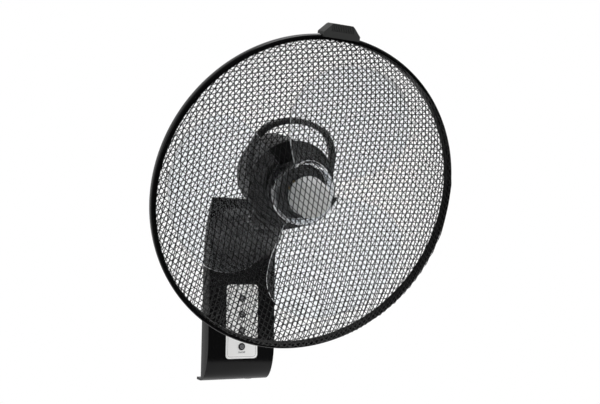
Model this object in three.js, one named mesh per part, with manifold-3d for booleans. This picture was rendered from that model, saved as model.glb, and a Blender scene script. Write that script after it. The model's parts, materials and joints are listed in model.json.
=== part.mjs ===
// A wall mounted fan, in millimetres. +Z is up and -Y faces the room.
// The origin is the middle of the wall plate's back face, which lies on the wall at y = 0.
// The head is built in its own frame, level and facing -Y, and is then tilted by the rest angle.
import * as THREE from "three";
import { mergeVertices } from "three/addons/utils/BufferGeometryUtils.js";
import Module from "manifold-3d";

const wasm = await Module();
wasm.setup();

// ---- Fits
const REST_GAP = 0.3; // between pieces that rest on each other
const BORE_GAP = 0.3; // around shafts, pins and screws in their bores
const PIVOT_GAP = 0.4; // at the swing link's open pivot
const MERGE = 1e-4;
const OVERCUT = 1; // how far a cutting shape runs past the face that it opens
const ROUND_SIDES = 30; // facets of large turned pieces
const MEDIUM_SIDES = 24; // facets of the neck, the spinner and the swing drive
const CORE_SIDES = 20; // facets of the motor's inner pieces
const SMALL_SIDES = 12; // facets of pins, screws and bushes
const FORK_SIDES = 32;
const WASHER_SIDES = 16;
const BUTTON_SIDES = 14;
const CORNER_STEPS = 4; // facets of each rounded corner of a plate
const HOLE_STEPS = 6; // half the facets of a round hole in a plate
const CURVE_STEPS = 7; // facets of each curve of the housing, two to a step in its foot

// ---- Wall housing
const HOUSING_WIDTH = 115;
const HOUSING_DEPTH = 59; // wall to front face
const HOUSING_TOP = 157;
const TOP_LEAN = 7; // how far the top edge leans into the room
const LEAN_START = 84; // height at which the lean starts
const FOOT_CENTRE = -86; // height where the front face starts to curve back to the wall
const FOOT_DROP = 58.5; // height of that curve
const FOOT_REACH = 40; // depth of that curve
const FOOT_WALL = 4.2;
const COVER_WALL = 2.5;
const SIDE_BACK = 22; // wall to the back edge of the cover's sides
const SIDE_TAPER_START = 62; // height where the sides start to narrow to the top edge
const CASE_INSET = 9.5; // from the cover's side to the case's side
const CASE_WIDTH = HOUSING_WIDTH - 2 * CASE_INSET;
const CASE_WALL = 2.5;
const CASE_DEPTH = 30; // wall to the front edge of the case's sides
const CASE_BOTTOM = -136.5;
const CASE_TOP = 96; // height where the case's sloped top starts
const CASE_PEAK = 146; // height where the slope meets the cover
const FLANGE_DEPTH = 2.2;
const CASE_LIP = 6; // depth of the case's top lip behind the cover

// ---- Wall plate
const PLATE_WIDTH = 76;
const PLATE_HEIGHT = 150;
const PLATE_THICK = 2;
const PLATE_CORNER = 8;
const PLATE_SCREW_RADIUS = 2.5;
const PLATE_SCREW_X = 28;
const PLATE_SCREW_Z = 62;
const HOOK_X = 18;
const HOOK_Z = 40;
const HOOK_WIDTH = 10;
const HOOK_HEIGHT = 12;
const HOOK_THICK = 2;
const HOOK_CLEAR = 1.5;

// ---- Panel, buttons and electronics
const PANEL_WIDTH = 55;
const PANEL_HEIGHT = 121;
const PANEL_CENTRE = -46.5;
const PANEL_CORNER = 6;
const PANEL_THICK = 1.1;
const PANEL_RECESS = 0.8;
const BUTTON_RADIUS = 5.5;
const BUTTON_PITCH = 26.2;
const BUTTON_TOP = -9; // height of the highest button
const BUTTON_COUNT = 4;
const BUTTON_PROUD = 1.6; // how far a button stands out of the panel
const BUTTON_FLANGE = 1.9; // how much wider the flange behind the cover is
const BUTTON_FLANGE_THICK = 1.2;
const BUTTON_BEVEL = 1;
const BUTTON_STEM_RADIUS = 2.5;
const BUTTON_TRAVEL = 1.1;
const BOARD_WIDTH = 50;
const BOARD_HEIGHT = 126;
const BOARD_THICK = 1.6;
const STANDOFF = 5.2; // cover to board
const STANDOFF_RADIUS = 3;
const STANDOFF_MARGIN = 1; // from a standoff to the board's edge
const SWITCH_SIZE = 6;
const SWITCH_HEIGHT = 1.5;
const CAPACITOR = { x: 40, y: 22, z: 30 };
const CAPACITOR_CENTRE = 20;
const SCREW_INSET = 17.5; // from the cover's side to the screws
const SCREW_X = HOUSING_WIDTH / 2 - SCREW_INSET;
const SCREW_TOP = 78;
const SCREW_BOTTOM = -118;
const BOSS_RADIUS = 4.5;
const SCREW_RADIUS = 1.6;
const SCREW_HEAD_RADIUS = 3.6;
const SCREW_HEAD = 1.7;
const SCREW_HEAD_FACE = 2.9; // radius of the head's flat face
const SCREW_LENGTH = 18;
const GLAND_X = 28;
const GLAND_Y = -11;
const GLAND_RADIUS = 6;
const GLAND_BORE = 3.6;
const GLAND_FLANGE = 2.6;
const GLAND_FLANGE_THICK = 2;

// ---- Support arm and tilt joint
const HINGE_Y = -168;
const HINGE_Z = 113.6;
const REST_TILT = 21.4; // degrees that the head looks down in the photograph
const FORK_RADIUS = 14;
const FORK_HALF = 28;
const TONGUE_HALF = 12;
const TONGUE_RADIUS = 13.5;
const WASHER_THICK = 1.1;
const WASHER_RADIUS = 9;
const BOLT_RADIUS = 3;
const BOLT_HEAD_RADIUS = 6;
const BOLT_HEAD = 4;
const BOLT_HEAD_FACE = 5.1; // radius of the head's flat face
const BOLT_END = 1; // how far the bolt stands out of its nut
const ARM_WALL = 3.2;
const ARM_CAVITY_END = -140;
const TENON = { x: 66, z: 56, centre: 96 };
const TENON_DEPTH = 18;
const TENON_OVERLAP = 3; // how far the tenon runs into the arm
const TENON_CORNER = 8;
const SLOT_CLEAR = 1.5;
const ARM_SQUARENESS = 3.2; // 2 would make the sections oval
// The arm's sections from its root to its fork: room-side position, half width, underside and top.
const ARM_SECTIONS = [
  { y: -HOUSING_DEPTH, half: 55, low: 50, high: 147 },
  { y: -70, half: 53.5, low: 55, high: 134 },
  { y: -88, half: 50, low: 62.5, high: 122 },
  { y: -110, half: 45, low: 72.5, high: 115.5 },
  { y: -132, half: 39, low: 82, high: 112 },
  { y: -150, half: 32, low: 91, high: 113 },
  { y: HINGE_Y + 6, half: FORK_HALF, low: HINGE_Z - FORK_RADIUS, high: HINGE_Z + 10 },
];

// ---- Neck and swivel
const HINGE_DROP = 74; // motor axis to tilt axis
const NECK_RADIUS = 13;
const NECK_FLANGE_RADIUS = 16;
const NECK_FLANGE_THICK = 3;
const NECK_TOP = -47; // height from the motor axis
const SPINDLE_RADIUS = 5;
const SPINDLE_FOOT = -64;
const SPINDLE_TOP = -18.3;
const SWIVEL_TUBE_RADIUS = 11;
const SWIVEL_TUBE_TOP = -24;

// ---- Stations along the motor axis, measured back from the guard ring's middle plane
const SWIVEL_STATION = 144;
const NUT_FRONT = 64;
const GUARD_SEAT_FRONT = 75.9;
const SEAT_THICK = 1.4;
const COVER_FACE = GUARD_SEAT_FRONT + SEAT_THICK + REST_GAP;
const COVER_PLATE = 2.6;
const COVER_SPLIT = 112;
const SHIELD_FRONT = COVER_FACE + COVER_PLATE + REST_GAP;
const STATOR_FRONT = 92;
const STATOR_LENGTH = 28;
const STATOR_BACK = STATOR_FRONT + STATOR_LENGTH;
const SHIELD_DEPTH = 11.2;
const SHIELD_BACK = STATOR_BACK + REST_GAP + SHIELD_DEPTH;
const BRACKET_FRONT = SHIELD_BACK + REST_GAP;

// ---- Motor
const MOTOR_RADIUS = 59;
const MOTOR_WALL = 2.4;
const MOTOR_ROUND = { flat: 10, knee: 3, drop: 2, depth: 6 }; // the front cover's rounded edge
const GUARD_NECK_RADIUS = 22;
const GUARD_NECK_BORE = 12;
const GUARD_NECK_FRONT = 62;
const STATOR_RADIUS = 43;
const AIR_GAP = 0.6;
const ROTOR_RADIUS = 21.7;
const SHAFT_RADIUS = 4;
const SHAFT_FRONT = -2;
const BEARING_RADIUS = 9;
const BEARING_LENGTH = 8;
const BEARING_SET_IN = 0.5; // from a shield's outer face to its bearing
const BEARING_BOSS_SPARE = 1; // how much longer than its bearing a boss is
const SHIELD_WALL = 2.5;
const WINDING = { inner: 26, outer: 37, clear: 1.2 };
// The rear cover's sections: station, and how far each draws in from the motor's radius, sideways
// and upwards. It is fuller above and below.
const REAR_SECTIONS = [
  { s: COVER_SPLIT + REST_GAP, sideways: 0, upwards: 0 },
  { s: 140, sideways: 0, upwards: 0 },
  { s: 158, sideways: 2, upwards: 0 },
  { s: 172, sideways: 8, upwards: 1.5 },
  { s: 184, sideways: 17.5, upwards: 6 },
  { s: 193, sideways: 30, upwards: 14 },
  { s: 198.5, sideways: 45, upwards: 27 },
];
const NECK_OPENING = 24;
const VENT_COUNT = 5;
const VENT_PITCH = 14;
const VENT_HEIGHT = 3;
const VENT_HALF = 30;
const VENT_START = 168;

// ---- Handle
const HANDLE_STATION = 92;
const HANDLE_THICK = 8;
const HANDLE_WIDTH = 15;
const HANDLE_CORNER = 2.8;
const HANDLE_STEPS = 24;
const HANDLE_PATH = [
  [MOTOR_RADIUS + REST_GAP + HANDLE_THICK / 2, 6],
  [MOTOR_RADIUS + 5, 34],
  [MOTOR_RADIUS + 1.5, 56],
  [MOTOR_RADIUS - 13, 77],
  [MOTOR_RADIUS - 35, 88],
  [0, 91.5],
];

// ---- Swing drive
const SWING_LIMIT = 40; // degrees to each side
const LEVER_REACH = 12;
const LEVER_THICK = 3;
const LEVER_LIFT = 2; // lever above the swivel tube
const LEVER_PIN = 2.4; // how far its pin stands up
const LEVER_EYE = 4.5;
const LEVER_BAR_HALF = 3.15;
const LINK_BAR_HALF = 2.7;
const LEVER_HUB = 9;
const SWING_PIN_RADIUS = 2;
const CRANK_X = 8;
const CRANK_STATION = 172;
const CRANK_THROW = LEVER_REACH * Math.sin(THREE.MathUtils.degToRad(SWING_LIMIT));
const CRANK_RADIUS = 11.5;
const CRANK_THICK = 3.8;
const CRANK_PIN_END = 0.5; // how far the crank's pin stands out of the link
const LINK_THICK = 2;
const SWING_MOTOR_RADIUS = 20;
const SWING_MOTOR_HEIGHT = 16;
const SWING_SHAFT_RADIUS = 2.5;
const SHELF_THICK = 2.7;
const BRACKET_HALF = 21;
const BRACKET_THICK = 3.2;
const BRACKET_WEB_HALF = 8.8; // half width of the web between the bracket and its tube
const BRACKET_WINDOW = 8; // how far below the link the bracket's window starts

// ---- Guard
const GUARD_RADIUS = 220;
const RING_WALL = 2.2;
const RING_LIP = 1.2;
const RING_LIP_DEPTH = 1.8;
const RING_SPLIT = 3;
const RING_OFFSET = 3.6; // how far the ring's middle lies behind the guard's reference plane
const HOOP_OUTER = GUARD_RADIUS - RING_WALL - REST_GAP;
const GUARD_SIDES = 60;
const CLIP_HOOK = 2.5; // how far the clip hooks down over the ring's front
const NUT_RADIUS = 36;
const NUT_WAVE = 1.6;
const HOOP_WIDTH = 4.8;
const HOOP_DEPTH = 4.6;
const SHOULDER_INSET = 0.5; // from the hoop's rim in to the shoulder of the front grille
const SHOULDER_RADIUS = HOOP_OUTER - SHOULDER_INSET; // where the skirt turns to the dome
const SKIRT_HEIGHT = 14;
const SKIRT_FLARE = 2.4;
const DOME_RISE = 40;
const DOME_POWER = 4.2;
const BOWL_INSET = 2.9; // from the hoop's rim in to the rear grille's wall
const BOWL_RADIUS = HOOP_OUTER - BOWL_INSET;
const BOWL_EDGE = 13; // station of the rear grille's edge
const BOWL_POWER = 2.5;
const SEAT_RADIUS = 66;
const SEAT_RISE = 1.2; // how far the strands stand behind the seat plate where they join it
const BOWL_DEPTH =
  (GUARD_SEAT_FRONT + SEAT_THICK + SEAT_RISE - BOWL_EDGE) /
  (1 - (SEAT_RADIUS / BOWL_RADIUS) ** BOWL_POWER);
const SEAT_OVERLAP = 2; // how far the strands run in over the seat plate
const SKIRT_SPARE = 14; // how much further than the skirt the lattice is laid out
const NUT_LOBES = 8;
const NUT_LOBE_STEPS = 4;
const STRAND_WIDTH = 4;
const STRAND_DEPTH = 2.4;
const STRAND_SPACING = 5.6; // times the real grille's pitch, which keeps the faces few
const CELL_UPRIGHT = 8.32; // the real grille's vertical strand pitch
const CELL_SLANT = { x: 6.8, z: -5.16 };
const REAR_TURN = 25; // degrees that the rear grille is turned
const CLIP = { base: 27, top: 17, height: 16.5, shoulder: 5, front: -6.5, back: 13, chamfer: 2 };

// ---- Blades
const HUB_RADIUS = 45;
const HUB_FRONT = 19;
const HUB_BACK = 50;
const HUB_WALL = 2.2;
const HUB_ROUND = { flat: 5, knee: 1.5, drop: 2, depth: 6 }; // the hub's rounded front edge
const HUB_BOSS_RADIUS = 9;
const HUB_BOSS_BACK = 60;
const BLADE_COUNT = 3;
const TIP_CLEARANCE = 29.5; // from the guard's hoops in to the blades' tips
const BLADE_RADIUS = HOOP_OUTER - TIP_CLEARANCE;
const BLADE_ROOT = 43.5;
const BLADE_THICK = 2;
const BLADE_SPREAD = 56; // degrees from the middle of a blade to its edge, near the hub
const BLADE_ROUNDING = 3.5;
const BLADE_SWEEP = 14;
const BLADE_SWEEP_RADIUS = 150;
const BLADE_PITCH_ROOT = 0.17; // axial millimetres per degree at the axis
const BLADE_PITCH_RISE = 0.0024; // and how it grows with each millimetre of radius
const BLADE_STATION = 34.5;
const BLADE_LEAN = 0.117;
const BLADE_CAMBER = 5;
const BLADE_STEPS = 8;
const BLADE_TIP_SHARE = 0.985; // the outline stops just short of its point
const FIRST_BLADE = 60; // degrees, from +X towards +Z
const PIN_STATION = 57.4;
const PIN_RADIUS = 2;
const PIN_HALF = 8.4;
const SPINNER_RADIUS = 28;
const SPINNER_FRONT = -9;
const SPINNER_WALL = 2.4;
// The spinner's outline: share of its radius, and depth behind its front.
const SPINNER_OUTLINE = [[0, 0], [0.5, 0.6], [0.85, 3.6], [0.97, 9], [1, 14]];
const SPINNER_FLOOR = 9; // depth of the hollow behind the spinner's front, at its boss
const SPINNER_SHOULDER = 13; // and at its wall
const SPINNER_SPARE = 1; // room in front of the shaft's end

const MATERIALS = {
  blackPlastic: material(0x161616, 0.38, 0),
  panel: material(0xc9c9c6, 0.45, 0.1),
  button: material(0x8d8d8b, 0.4, 0),
  steel: material(0xa8aaad, 0.35, 0.9),
  laminations: material(0x6f7276, 0.5, 0.8),
  copper: material(0xb8632f, 0.4, 0.8),
  cast: material(0x9a9da0, 0.55, 0.7),
  bronze: material(0xa98444, 0.45, 0.8),
  board: material(0x2f6b3a, 0.6, 0),
  mesh: material(0x1a1a1a, 0.35, 0.6),
  clear: material(0xbfc4c8, 0.15, 0),
  pale: material(0xd4d4d0, 0.4, 0),
  rubber: material(0x141414, 0.85, 0),
  grey: material(0x3a3b3c, 0.55, 0),
  white: material(0xe6e3da, 0.5, 0),
};

function material(color, roughness, metalness) {
  return new THREE.MeshStandardMaterial({ color, roughness, metalness });
}

// ---------------------------------------------------------------- geometry helpers

const X = new THREE.Vector3(1, 0, 0);
const Y = new THREE.Vector3(0, 1, 0);
const Z = new THREE.Vector3(0, 0, 1);
const SIDE_VIEW = new THREE.Matrix4().makeBasis(Y, Z, X); // shape in y and z, extruded along x
const FRONT_VIEW = new THREE.Matrix4().makeBasis(X, Z, Y.clone().negate()); // x and z, towards -y

// A closed triangle mesh from points and faces, turned so that its faces point out.
function closedMesh(points, faces) {
  const positions = points.flatMap((p) => [p.x, p.y, p.z]);
  let volume = 0;
  for (const [a, b, c] of faces) {
    volume += points[a].dot(new THREE.Vector3().crossVectors(points[b], points[c]));
  }
  const index = faces.flatMap(([a, b, c]) => (volume < 0 ? [a, c, b] : [a, b, c]));
  const geometry = new THREE.BufferGeometry();
  geometry.setAttribute("position", new THREE.Float32BufferAttribute(positions, 3));
  geometry.setIndex(index);
  return geometry;
}

function toSolid(geometry) {
  const bare = new THREE.BufferGeometry();
  bare.setAttribute("position", geometry.getAttribute("position"));
  if (geometry.index) bare.setIndex(geometry.index);
  const merged = mergeVertices(bare, MERGE);
  return new wasm.Manifold(
    new wasm.Mesh({
      numProp: 3,
      vertProperties: new Float32Array(merged.attributes.position.array),
      triVerts: new Uint32Array(merged.index.array),
    }),
  );
}

function toGeometry(solid) {
  const mesh = solid.getMesh();
  const geometry = new THREE.BufferGeometry();
  geometry.setAttribute("position", new THREE.BufferAttribute(mesh.vertProperties, 3));
  geometry.setIndex(new THREE.BufferAttribute(mesh.triVerts, 1));
  return geometry;
}

function join(...geometries) {
  return toGeometry(geometries.map(toSolid).reduce((a, b) => a.add(b)));
}

function cut(geometry, ...tools) {
  return toGeometry(tools.map(toSolid).reduce((a, b) => a.subtract(b), toSolid(geometry)));
}

function common(geometry, tool) {
  return toGeometry(toSolid(geometry).intersect(toSolid(tool)));
}

function box(x0, x1, y0, y1, z0, z1) {
  const geometry = new THREE.BoxGeometry(x1 - x0, y1 - y0, z1 - z0);
  return geometry.translate((x0 + x1) / 2, (y0 + y1) / 2, (z0 + z1) / 2);
}

// A solid turned about the y axis, from its closed profile of [radius, y] points.
function turned(profile, sides = ROUND_SIDES) {
  let area = 0;
  profile.forEach(([r, y], i) => {
    const [nextR, nextY] = profile[(i + 1) % profile.length];
    area += r * nextY - nextR * y;
  });
  const outline = (area > 0 ? profile : [...profile].reverse()).map(([r, y]) => new THREE.Vector2(r, y));
  return toGeometry(toSolid(new THREE.LatheGeometry([...outline, outline[0]], sides)));
}

function ringProfile(inner, outer, from, to) {
  return [[inner, from], [outer, from], [outer, to], [inner, to]];
}

// A round bar or tube, along x, y or z.
function rod(axis, inner, outer, from, to, sides = SMALL_SIDES) {
  const geometry = turned(ringProfile(inner, outer, from, to), sides);
  if (axis === "z") geometry.rotateX(Math.PI / 2);
  if (axis === "x") geometry.rotateZ(-Math.PI / 2);
  return geometry;
}

function shapeOf(points) {
  return new THREE.Shape(points.map(([a, b]) => new THREE.Vector2(a, b)));
}

// A shape extruded along the third axis of a view, from `start` to `end` on it.
function prism(shape, view, start, end, curveSegments = 8) {
  const depth = Math.abs(end - start);
  const geometry = new THREE.ExtrudeGeometry(shape, { depth, bevelEnabled: false, curveSegments });
  return geometry.translate(0, 0, Math.min(start, end)).applyMatrix4(view);
}

// A plate that faces the room, between two distances from the wall.
function plate(shape, nearWall, farFromWall, curveSegments) {
  return prism(shape, FRONT_VIEW, nearWall, farFromWall, curveSegments);
}

function roundedRect(width, height, radius, centreX = 0, centreY = 0) {
  const shape = new THREE.Shape();
  const w = width / 2 - radius;
  const h = height / 2 - radius;
  shape.absarc(centreX + w, centreY + h, radius, 0, Math.PI / 2);
  shape.absarc(centreX - w, centreY + h, radius, Math.PI / 2, Math.PI);
  shape.absarc(centreX - w, centreY - h, radius, Math.PI, Math.PI * 1.5);
  shape.absarc(centreX + w, centreY - h, radius, Math.PI * 1.5, Math.PI * 2);
  return shape;
}

// A closed solid through rings of points, with a flat cap at each end.
function loft(rings) {
  const count = rings[0].length;
  const points = rings.flat();
  const faces = [];
  for (let ring = 0; ring + 1 < rings.length; ring++) {
    for (let i = 0; i < count; i++) {
      const a = ring * count + i;
      const b = ring * count + ((i + 1) % count);
      faces.push([a, b, b + count], [a, b + count, a + count]);
    }
  }
  const last = (rings.length - 1) * count;
  for (let i = 1; i + 1 < count; i++) {
    faces.push([0, i + 1, i], [last, last + i, last + i + 1]);
  }
  return closedMesh(points, faces);
}

// Points of a rounded oblong in the plane of x and z. A higher power makes it squarer.
function oblong(halfX, halfZ, centreZ, y, power, count = 20) {
  return Array.from({ length: count }, (_, i) => {
    const angle = (2 * Math.PI * (i + 0.5)) / count;
    const c = Math.cos(angle);
    const s = Math.sin(angle);
    const reach = (Math.abs(c) ** power + Math.abs(s) ** power) ** (-1 / power);
    return new THREE.Vector3(halfX * c * reach, y, centreZ + halfZ * s * reach);
  });
}

// ---------------------------------------------------------------- assembly frame

const fan = new THREE.Group();
const tilting = new THREE.Group(); // at the tilt axis
tilting.position.set(0, HINGE_Y, HINGE_Z);
tilting.rotation.x = THREE.MathUtils.degToRad(REST_TILT);
const head = new THREE.Group(); // where the swivel axis meets the motor axis
head.position.set(0, 0, HINGE_DROP);
tilting.add(head);
fan.add(tilting);

function add(group, name, geometry, material) {
  const mesh = new THREE.Mesh(geometry, material);
  mesh.name = name;
  group.add(mesh);
}

const station = (s) => s - SWIVEL_STATION;

// ---------------------------------------------------------------- wall housing

const COVER_INNER_Y = -(HOUSING_DEPTH - COVER_WALL);
const BACK_WALL_Y = -(PLATE_THICK + REST_GAP);
const CASE_FLOOR_Y = BACK_WALL_Y - CASE_WALL;
const FOOT_OUTER_Z = FOOT_CENTRE - FOOT_DROP;
const FOOT_INNER_Z = FOOT_OUTER_Z + FOOT_WALL;

// The front face from its top edge to the foot, drawn in by `inset`, in y and z.
function frontLine(inset, top) {
  const wall = inset > 0 ? FOOT_WALL : 0;
  const face = -(HOUSING_DEPTH - inset);
  const line = new THREE.Path();
  line.moveTo(face - TOP_LEAN, top);
  line.quadraticCurveTo(face, (HOUSING_TOP + LEAN_START) / 2, face, LEAN_START);
  line.lineTo(face, FOOT_CENTRE);
  line.absellipse(
    -(HOUSING_DEPTH - FOOT_REACH),
    FOOT_CENTRE,
    FOOT_REACH - inset,
    FOOT_DROP - wall,
    Math.PI,
    Math.PI * 1.5,
  );
  return line;
}

function coverOutline() {
  const shape = new THREE.Shape(frontLine(0, HOUSING_TOP).getPoints(CURVE_STEPS));
  shape.lineTo(-REST_GAP, FOOT_OUTER_Z);
  shape.lineTo(-REST_GAP, FOOT_INNER_Z);
  shape.lineTo(-SIDE_BACK, FOOT_INNER_Z);
  shape.lineTo(-SIDE_BACK, SIDE_TAPER_START);
  shape.quadraticCurveTo(
    -SIDE_BACK - TOP_LEAN,
    (HOUSING_TOP + SIDE_TAPER_START) / 2,
    -(HOUSING_DEPTH + TOP_LEAN - COVER_WALL),
    HOUSING_TOP,
  );
  return shape;
}

function coverCavity() {
  const shape = new THREE.Shape(frontLine(COVER_WALL, HOUSING_TOP).getPoints(CURVE_STEPS));
  shape.lineTo(OVERCUT, FOOT_INNER_Z);
  shape.lineTo(OVERCUT, HOUSING_TOP + COVER_WALL);
  shape.lineTo(-(HOUSING_DEPTH + TOP_LEAN - COVER_WALL), HOUSING_TOP + COVER_WALL);
  return shape;
}

const buttonHeights = Array.from({ length: BUTTON_COUNT }, (_, i) => BUTTON_TOP - i * BUTTON_PITCH);
const screwPlaces = [
  [-SCREW_X, SCREW_TOP],
  [SCREW_X, SCREW_TOP],
  [-SCREW_X, SCREW_BOTTOM],
  [SCREW_X, SCREW_BOTTOM],
];
const standoffPlaces = [-1, 1].flatMap((side) =>
  [-1, 1].map((end) => [
    side * (BOARD_WIDTH / 2 - STANDOFF_RADIUS - STANDOFF_MARGIN),
    PANEL_CENTRE + end * (BOARD_HEIGHT / 2 - STANDOFF_RADIUS - STANDOFF_MARGIN),
  ]),
);

// How deep the cover is at a height, from the wall to the inside of its front.
function innerDepth(z) {
  if (z > FOOT_CENTRE) return HOUSING_DEPTH - COVER_WALL;
  const drop = (FOOT_CENTRE - z) / (FOOT_DROP - FOOT_WALL);
  return HOUSING_DEPTH - FOOT_REACH + (FOOT_REACH - COVER_WALL) * Math.sqrt(1 - drop * drop);
}

function frontCover() {
  const half = HOUSING_WIDTH / 2;
  const inner = half - COVER_WALL;
  let body = cut(
    prism(coverOutline(), SIDE_VIEW, -half, half),
    prism(coverCavity(), SIDE_VIEW, -inner, inner),
  );
  for (const [x, z] of screwPlaces) {
    const reach = innerDepth(z - Math.sign(FOOT_CENTRE - z) * -BOSS_RADIUS) + OVERCUT;
    const boss = rod("y", 0, BOSS_RADIUS, -reach, CASE_FLOOR_Y - REST_GAP);
    body = join(body, boss.translate(x, 0, z));
  }
  for (const [x, z] of standoffPlaces) {
    const post = rod("y", 0, STANDOFF_RADIUS, COVER_INNER_Y - OVERCUT, COVER_INNER_Y + STANDOFF);
    body = join(body, post.translate(x, 0, z));
  }
  const recess = roundedRect(
    PANEL_WIDTH + 2 * REST_GAP, PANEL_HEIGHT + 2 * REST_GAP, PANEL_CORNER + REST_GAP, 0, PANEL_CENTRE,
  );
  const tools = [
    plate(recess, HOUSING_DEPTH - PANEL_RECESS, HOUSING_DEPTH + OVERCUT, CORNER_STEPS),
    tenonPrism(REST_GAP, HOUSING_DEPTH - COVER_WALL - OVERCUT, HOUSING_DEPTH + TOP_LEAN),
    rod("z", 0, GLAND_RADIUS + BORE_GAP, FOOT_OUTER_Z - OVERCUT, FOOT_INNER_Z + OVERCUT)
      .translate(GLAND_X, GLAND_Y, 0),
  ];
  for (const z of buttonHeights) {
    const hole = rod("y", 0, BUTTON_RADIUS + BORE_GAP, -HOUSING_DEPTH - OVERCUT, COVER_INNER_Y + OVERCUT);
    const flangeRadius = BUTTON_RADIUS + BUTTON_FLANGE + BORE_GAP;
    const seat = rod("y", 0, flangeRadius, COVER_INNER_Y, COVER_INNER_Y + COVER_WALL);
    tools.push(hole.translate(0, 0, z), seat.translate(0, 0, z));
  }
  for (const [x, z] of screwPlaces) {
    const hole = rod("y", 0, SCREW_RADIUS + BORE_GAP, CASE_FLOOR_Y - SCREW_LENGTH, 0);
    tools.push(hole.translate(x, 0, z));
  }
  return cut(body, ...tools);
}

// The y of the cover's front, drawn in by `inset`, at a height in its leaning top.
function leaningFaceY(z, inset) {
  const rise = (z - LEAN_START) / (HOUSING_TOP - LEAN_START);
  return -(HOUSING_DEPTH - inset) - TOP_LEAN * rise * rise;
}

// The rear case's sloped top, drawn in by `inset`, at a distance from the wall.
function caseTopAt(distance, inset) {
  const peakDistance = -leaningFaceY(CASE_PEAK, COVER_WALL);
  const slope = (CASE_PEAK - CASE_TOP) / (peakDistance + BACK_WALL_Y);
  return CASE_TOP + (distance + BACK_WALL_Y) * slope - inset * Math.hypot(1, slope);
}

function rearCase() {
  const half = CASE_WIDTH / 2;
  const tip = -leaningFaceY(CASE_PEAK - CASE_LIP, COVER_WALL) - REST_GAP;
  const outline = shapeOf([
    [BACK_WALL_Y, CASE_BOTTOM],
    [BACK_WALL_Y, CASE_TOP],
    [-tip, caseTopAt(tip, 0)],
    [-tip, caseTopAt(tip, 0) - CASE_LIP],
    [-CASE_DEPTH, caseTopAt(CASE_DEPTH, 0) - 2 * CASE_LIP],
    [-CASE_DEPTH, CASE_BOTTOM],
  ]);
  const cavity = shapeOf([
    [CASE_FLOOR_Y, CASE_BOTTOM + CASE_WALL],
    [CASE_FLOOR_Y, caseTopAt(-CASE_FLOOR_Y, CASE_WALL)],
    [-2 * HOUSING_DEPTH, caseTopAt(2 * HOUSING_DEPTH, CASE_WALL)],
    [-2 * HOUSING_DEPTH, CASE_BOTTOM + CASE_WALL],
  ]);
  const flangeHalf = HOUSING_WIDTH / 2 - COVER_WALL - REST_GAP;
  const flangeBack = -(SIDE_BACK + REST_GAP);
  const shell = join(
    prism(outline, SIDE_VIEW, -half, half),
    box(
      -flangeHalf, flangeHalf,
      flangeBack - FLANGE_DEPTH, flangeBack,
      CASE_BOTTOM + COVER_WALL, SIDE_TAPER_START,
    ),
  );
  const tools = [prism(cavity, SIDE_VIEW, -half + CASE_WALL, half - CASE_WALL)];
  for (const [x, z] of screwPlaces) {
    tools.push(rod("y", 0, SCREW_RADIUS + BORE_GAP, CASE_FLOOR_Y - OVERCUT, 0).translate(x, 0, z));
  }
  for (const side of [-1, 1]) {
    const x = side * HOOK_X;
    const reach = HOOK_WIDTH / 2 + HOOK_CLEAR;
    const low = HOOK_Z - HOOK_CLEAR;
    const high = HOOK_Z + HOOK_HEIGHT + HOOK_CLEAR;
    tools.push(box(x - reach, x + reach, CASE_FLOOR_Y - OVERCUT, 0, low, high));
  }
  const cordHole = rod("z", 0, GLAND_BORE, CASE_BOTTOM - OVERCUT, CASE_BOTTOM + CASE_WALL + OVERCUT);
  tools.push(cordHole.translate(GLAND_X, GLAND_Y, 0));
  return cut(shell, ...tools);
}

function wallPlate() {
  const sheet = plate(roundedRect(PLATE_WIDTH, PLATE_HEIGHT, PLATE_CORNER), 0, PLATE_THICK, CORNER_STEPS);
  const parts = [sheet];
  const hookBack = CASE_FLOOR_Y - REST_GAP;
  for (const side of [-1, 1]) {
    const left = side * HOOK_X - HOOK_WIDTH / 2;
    const right = left + HOOK_WIDTH;
    const front = hookBack - HOOK_THICK;
    parts.push(box(left, right, front, -PLATE_THICK / 2, HOOK_Z, HOOK_Z + HOOK_THICK));
    parts.push(box(left, right, front, hookBack, HOOK_Z, HOOK_Z + HOOK_HEIGHT));
  }
  const holes = [-1, 1].flatMap((side) =>
    [-1, 1].map((end) =>
      rod("y", 0, PLATE_SCREW_RADIUS, -PLATE_THICK - OVERCUT, OVERCUT)
        .translate(side * PLATE_SCREW_X, 0, end * PLATE_SCREW_Z),
    ),
  );
  return cut(join(...parts), ...holes);
}

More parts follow.
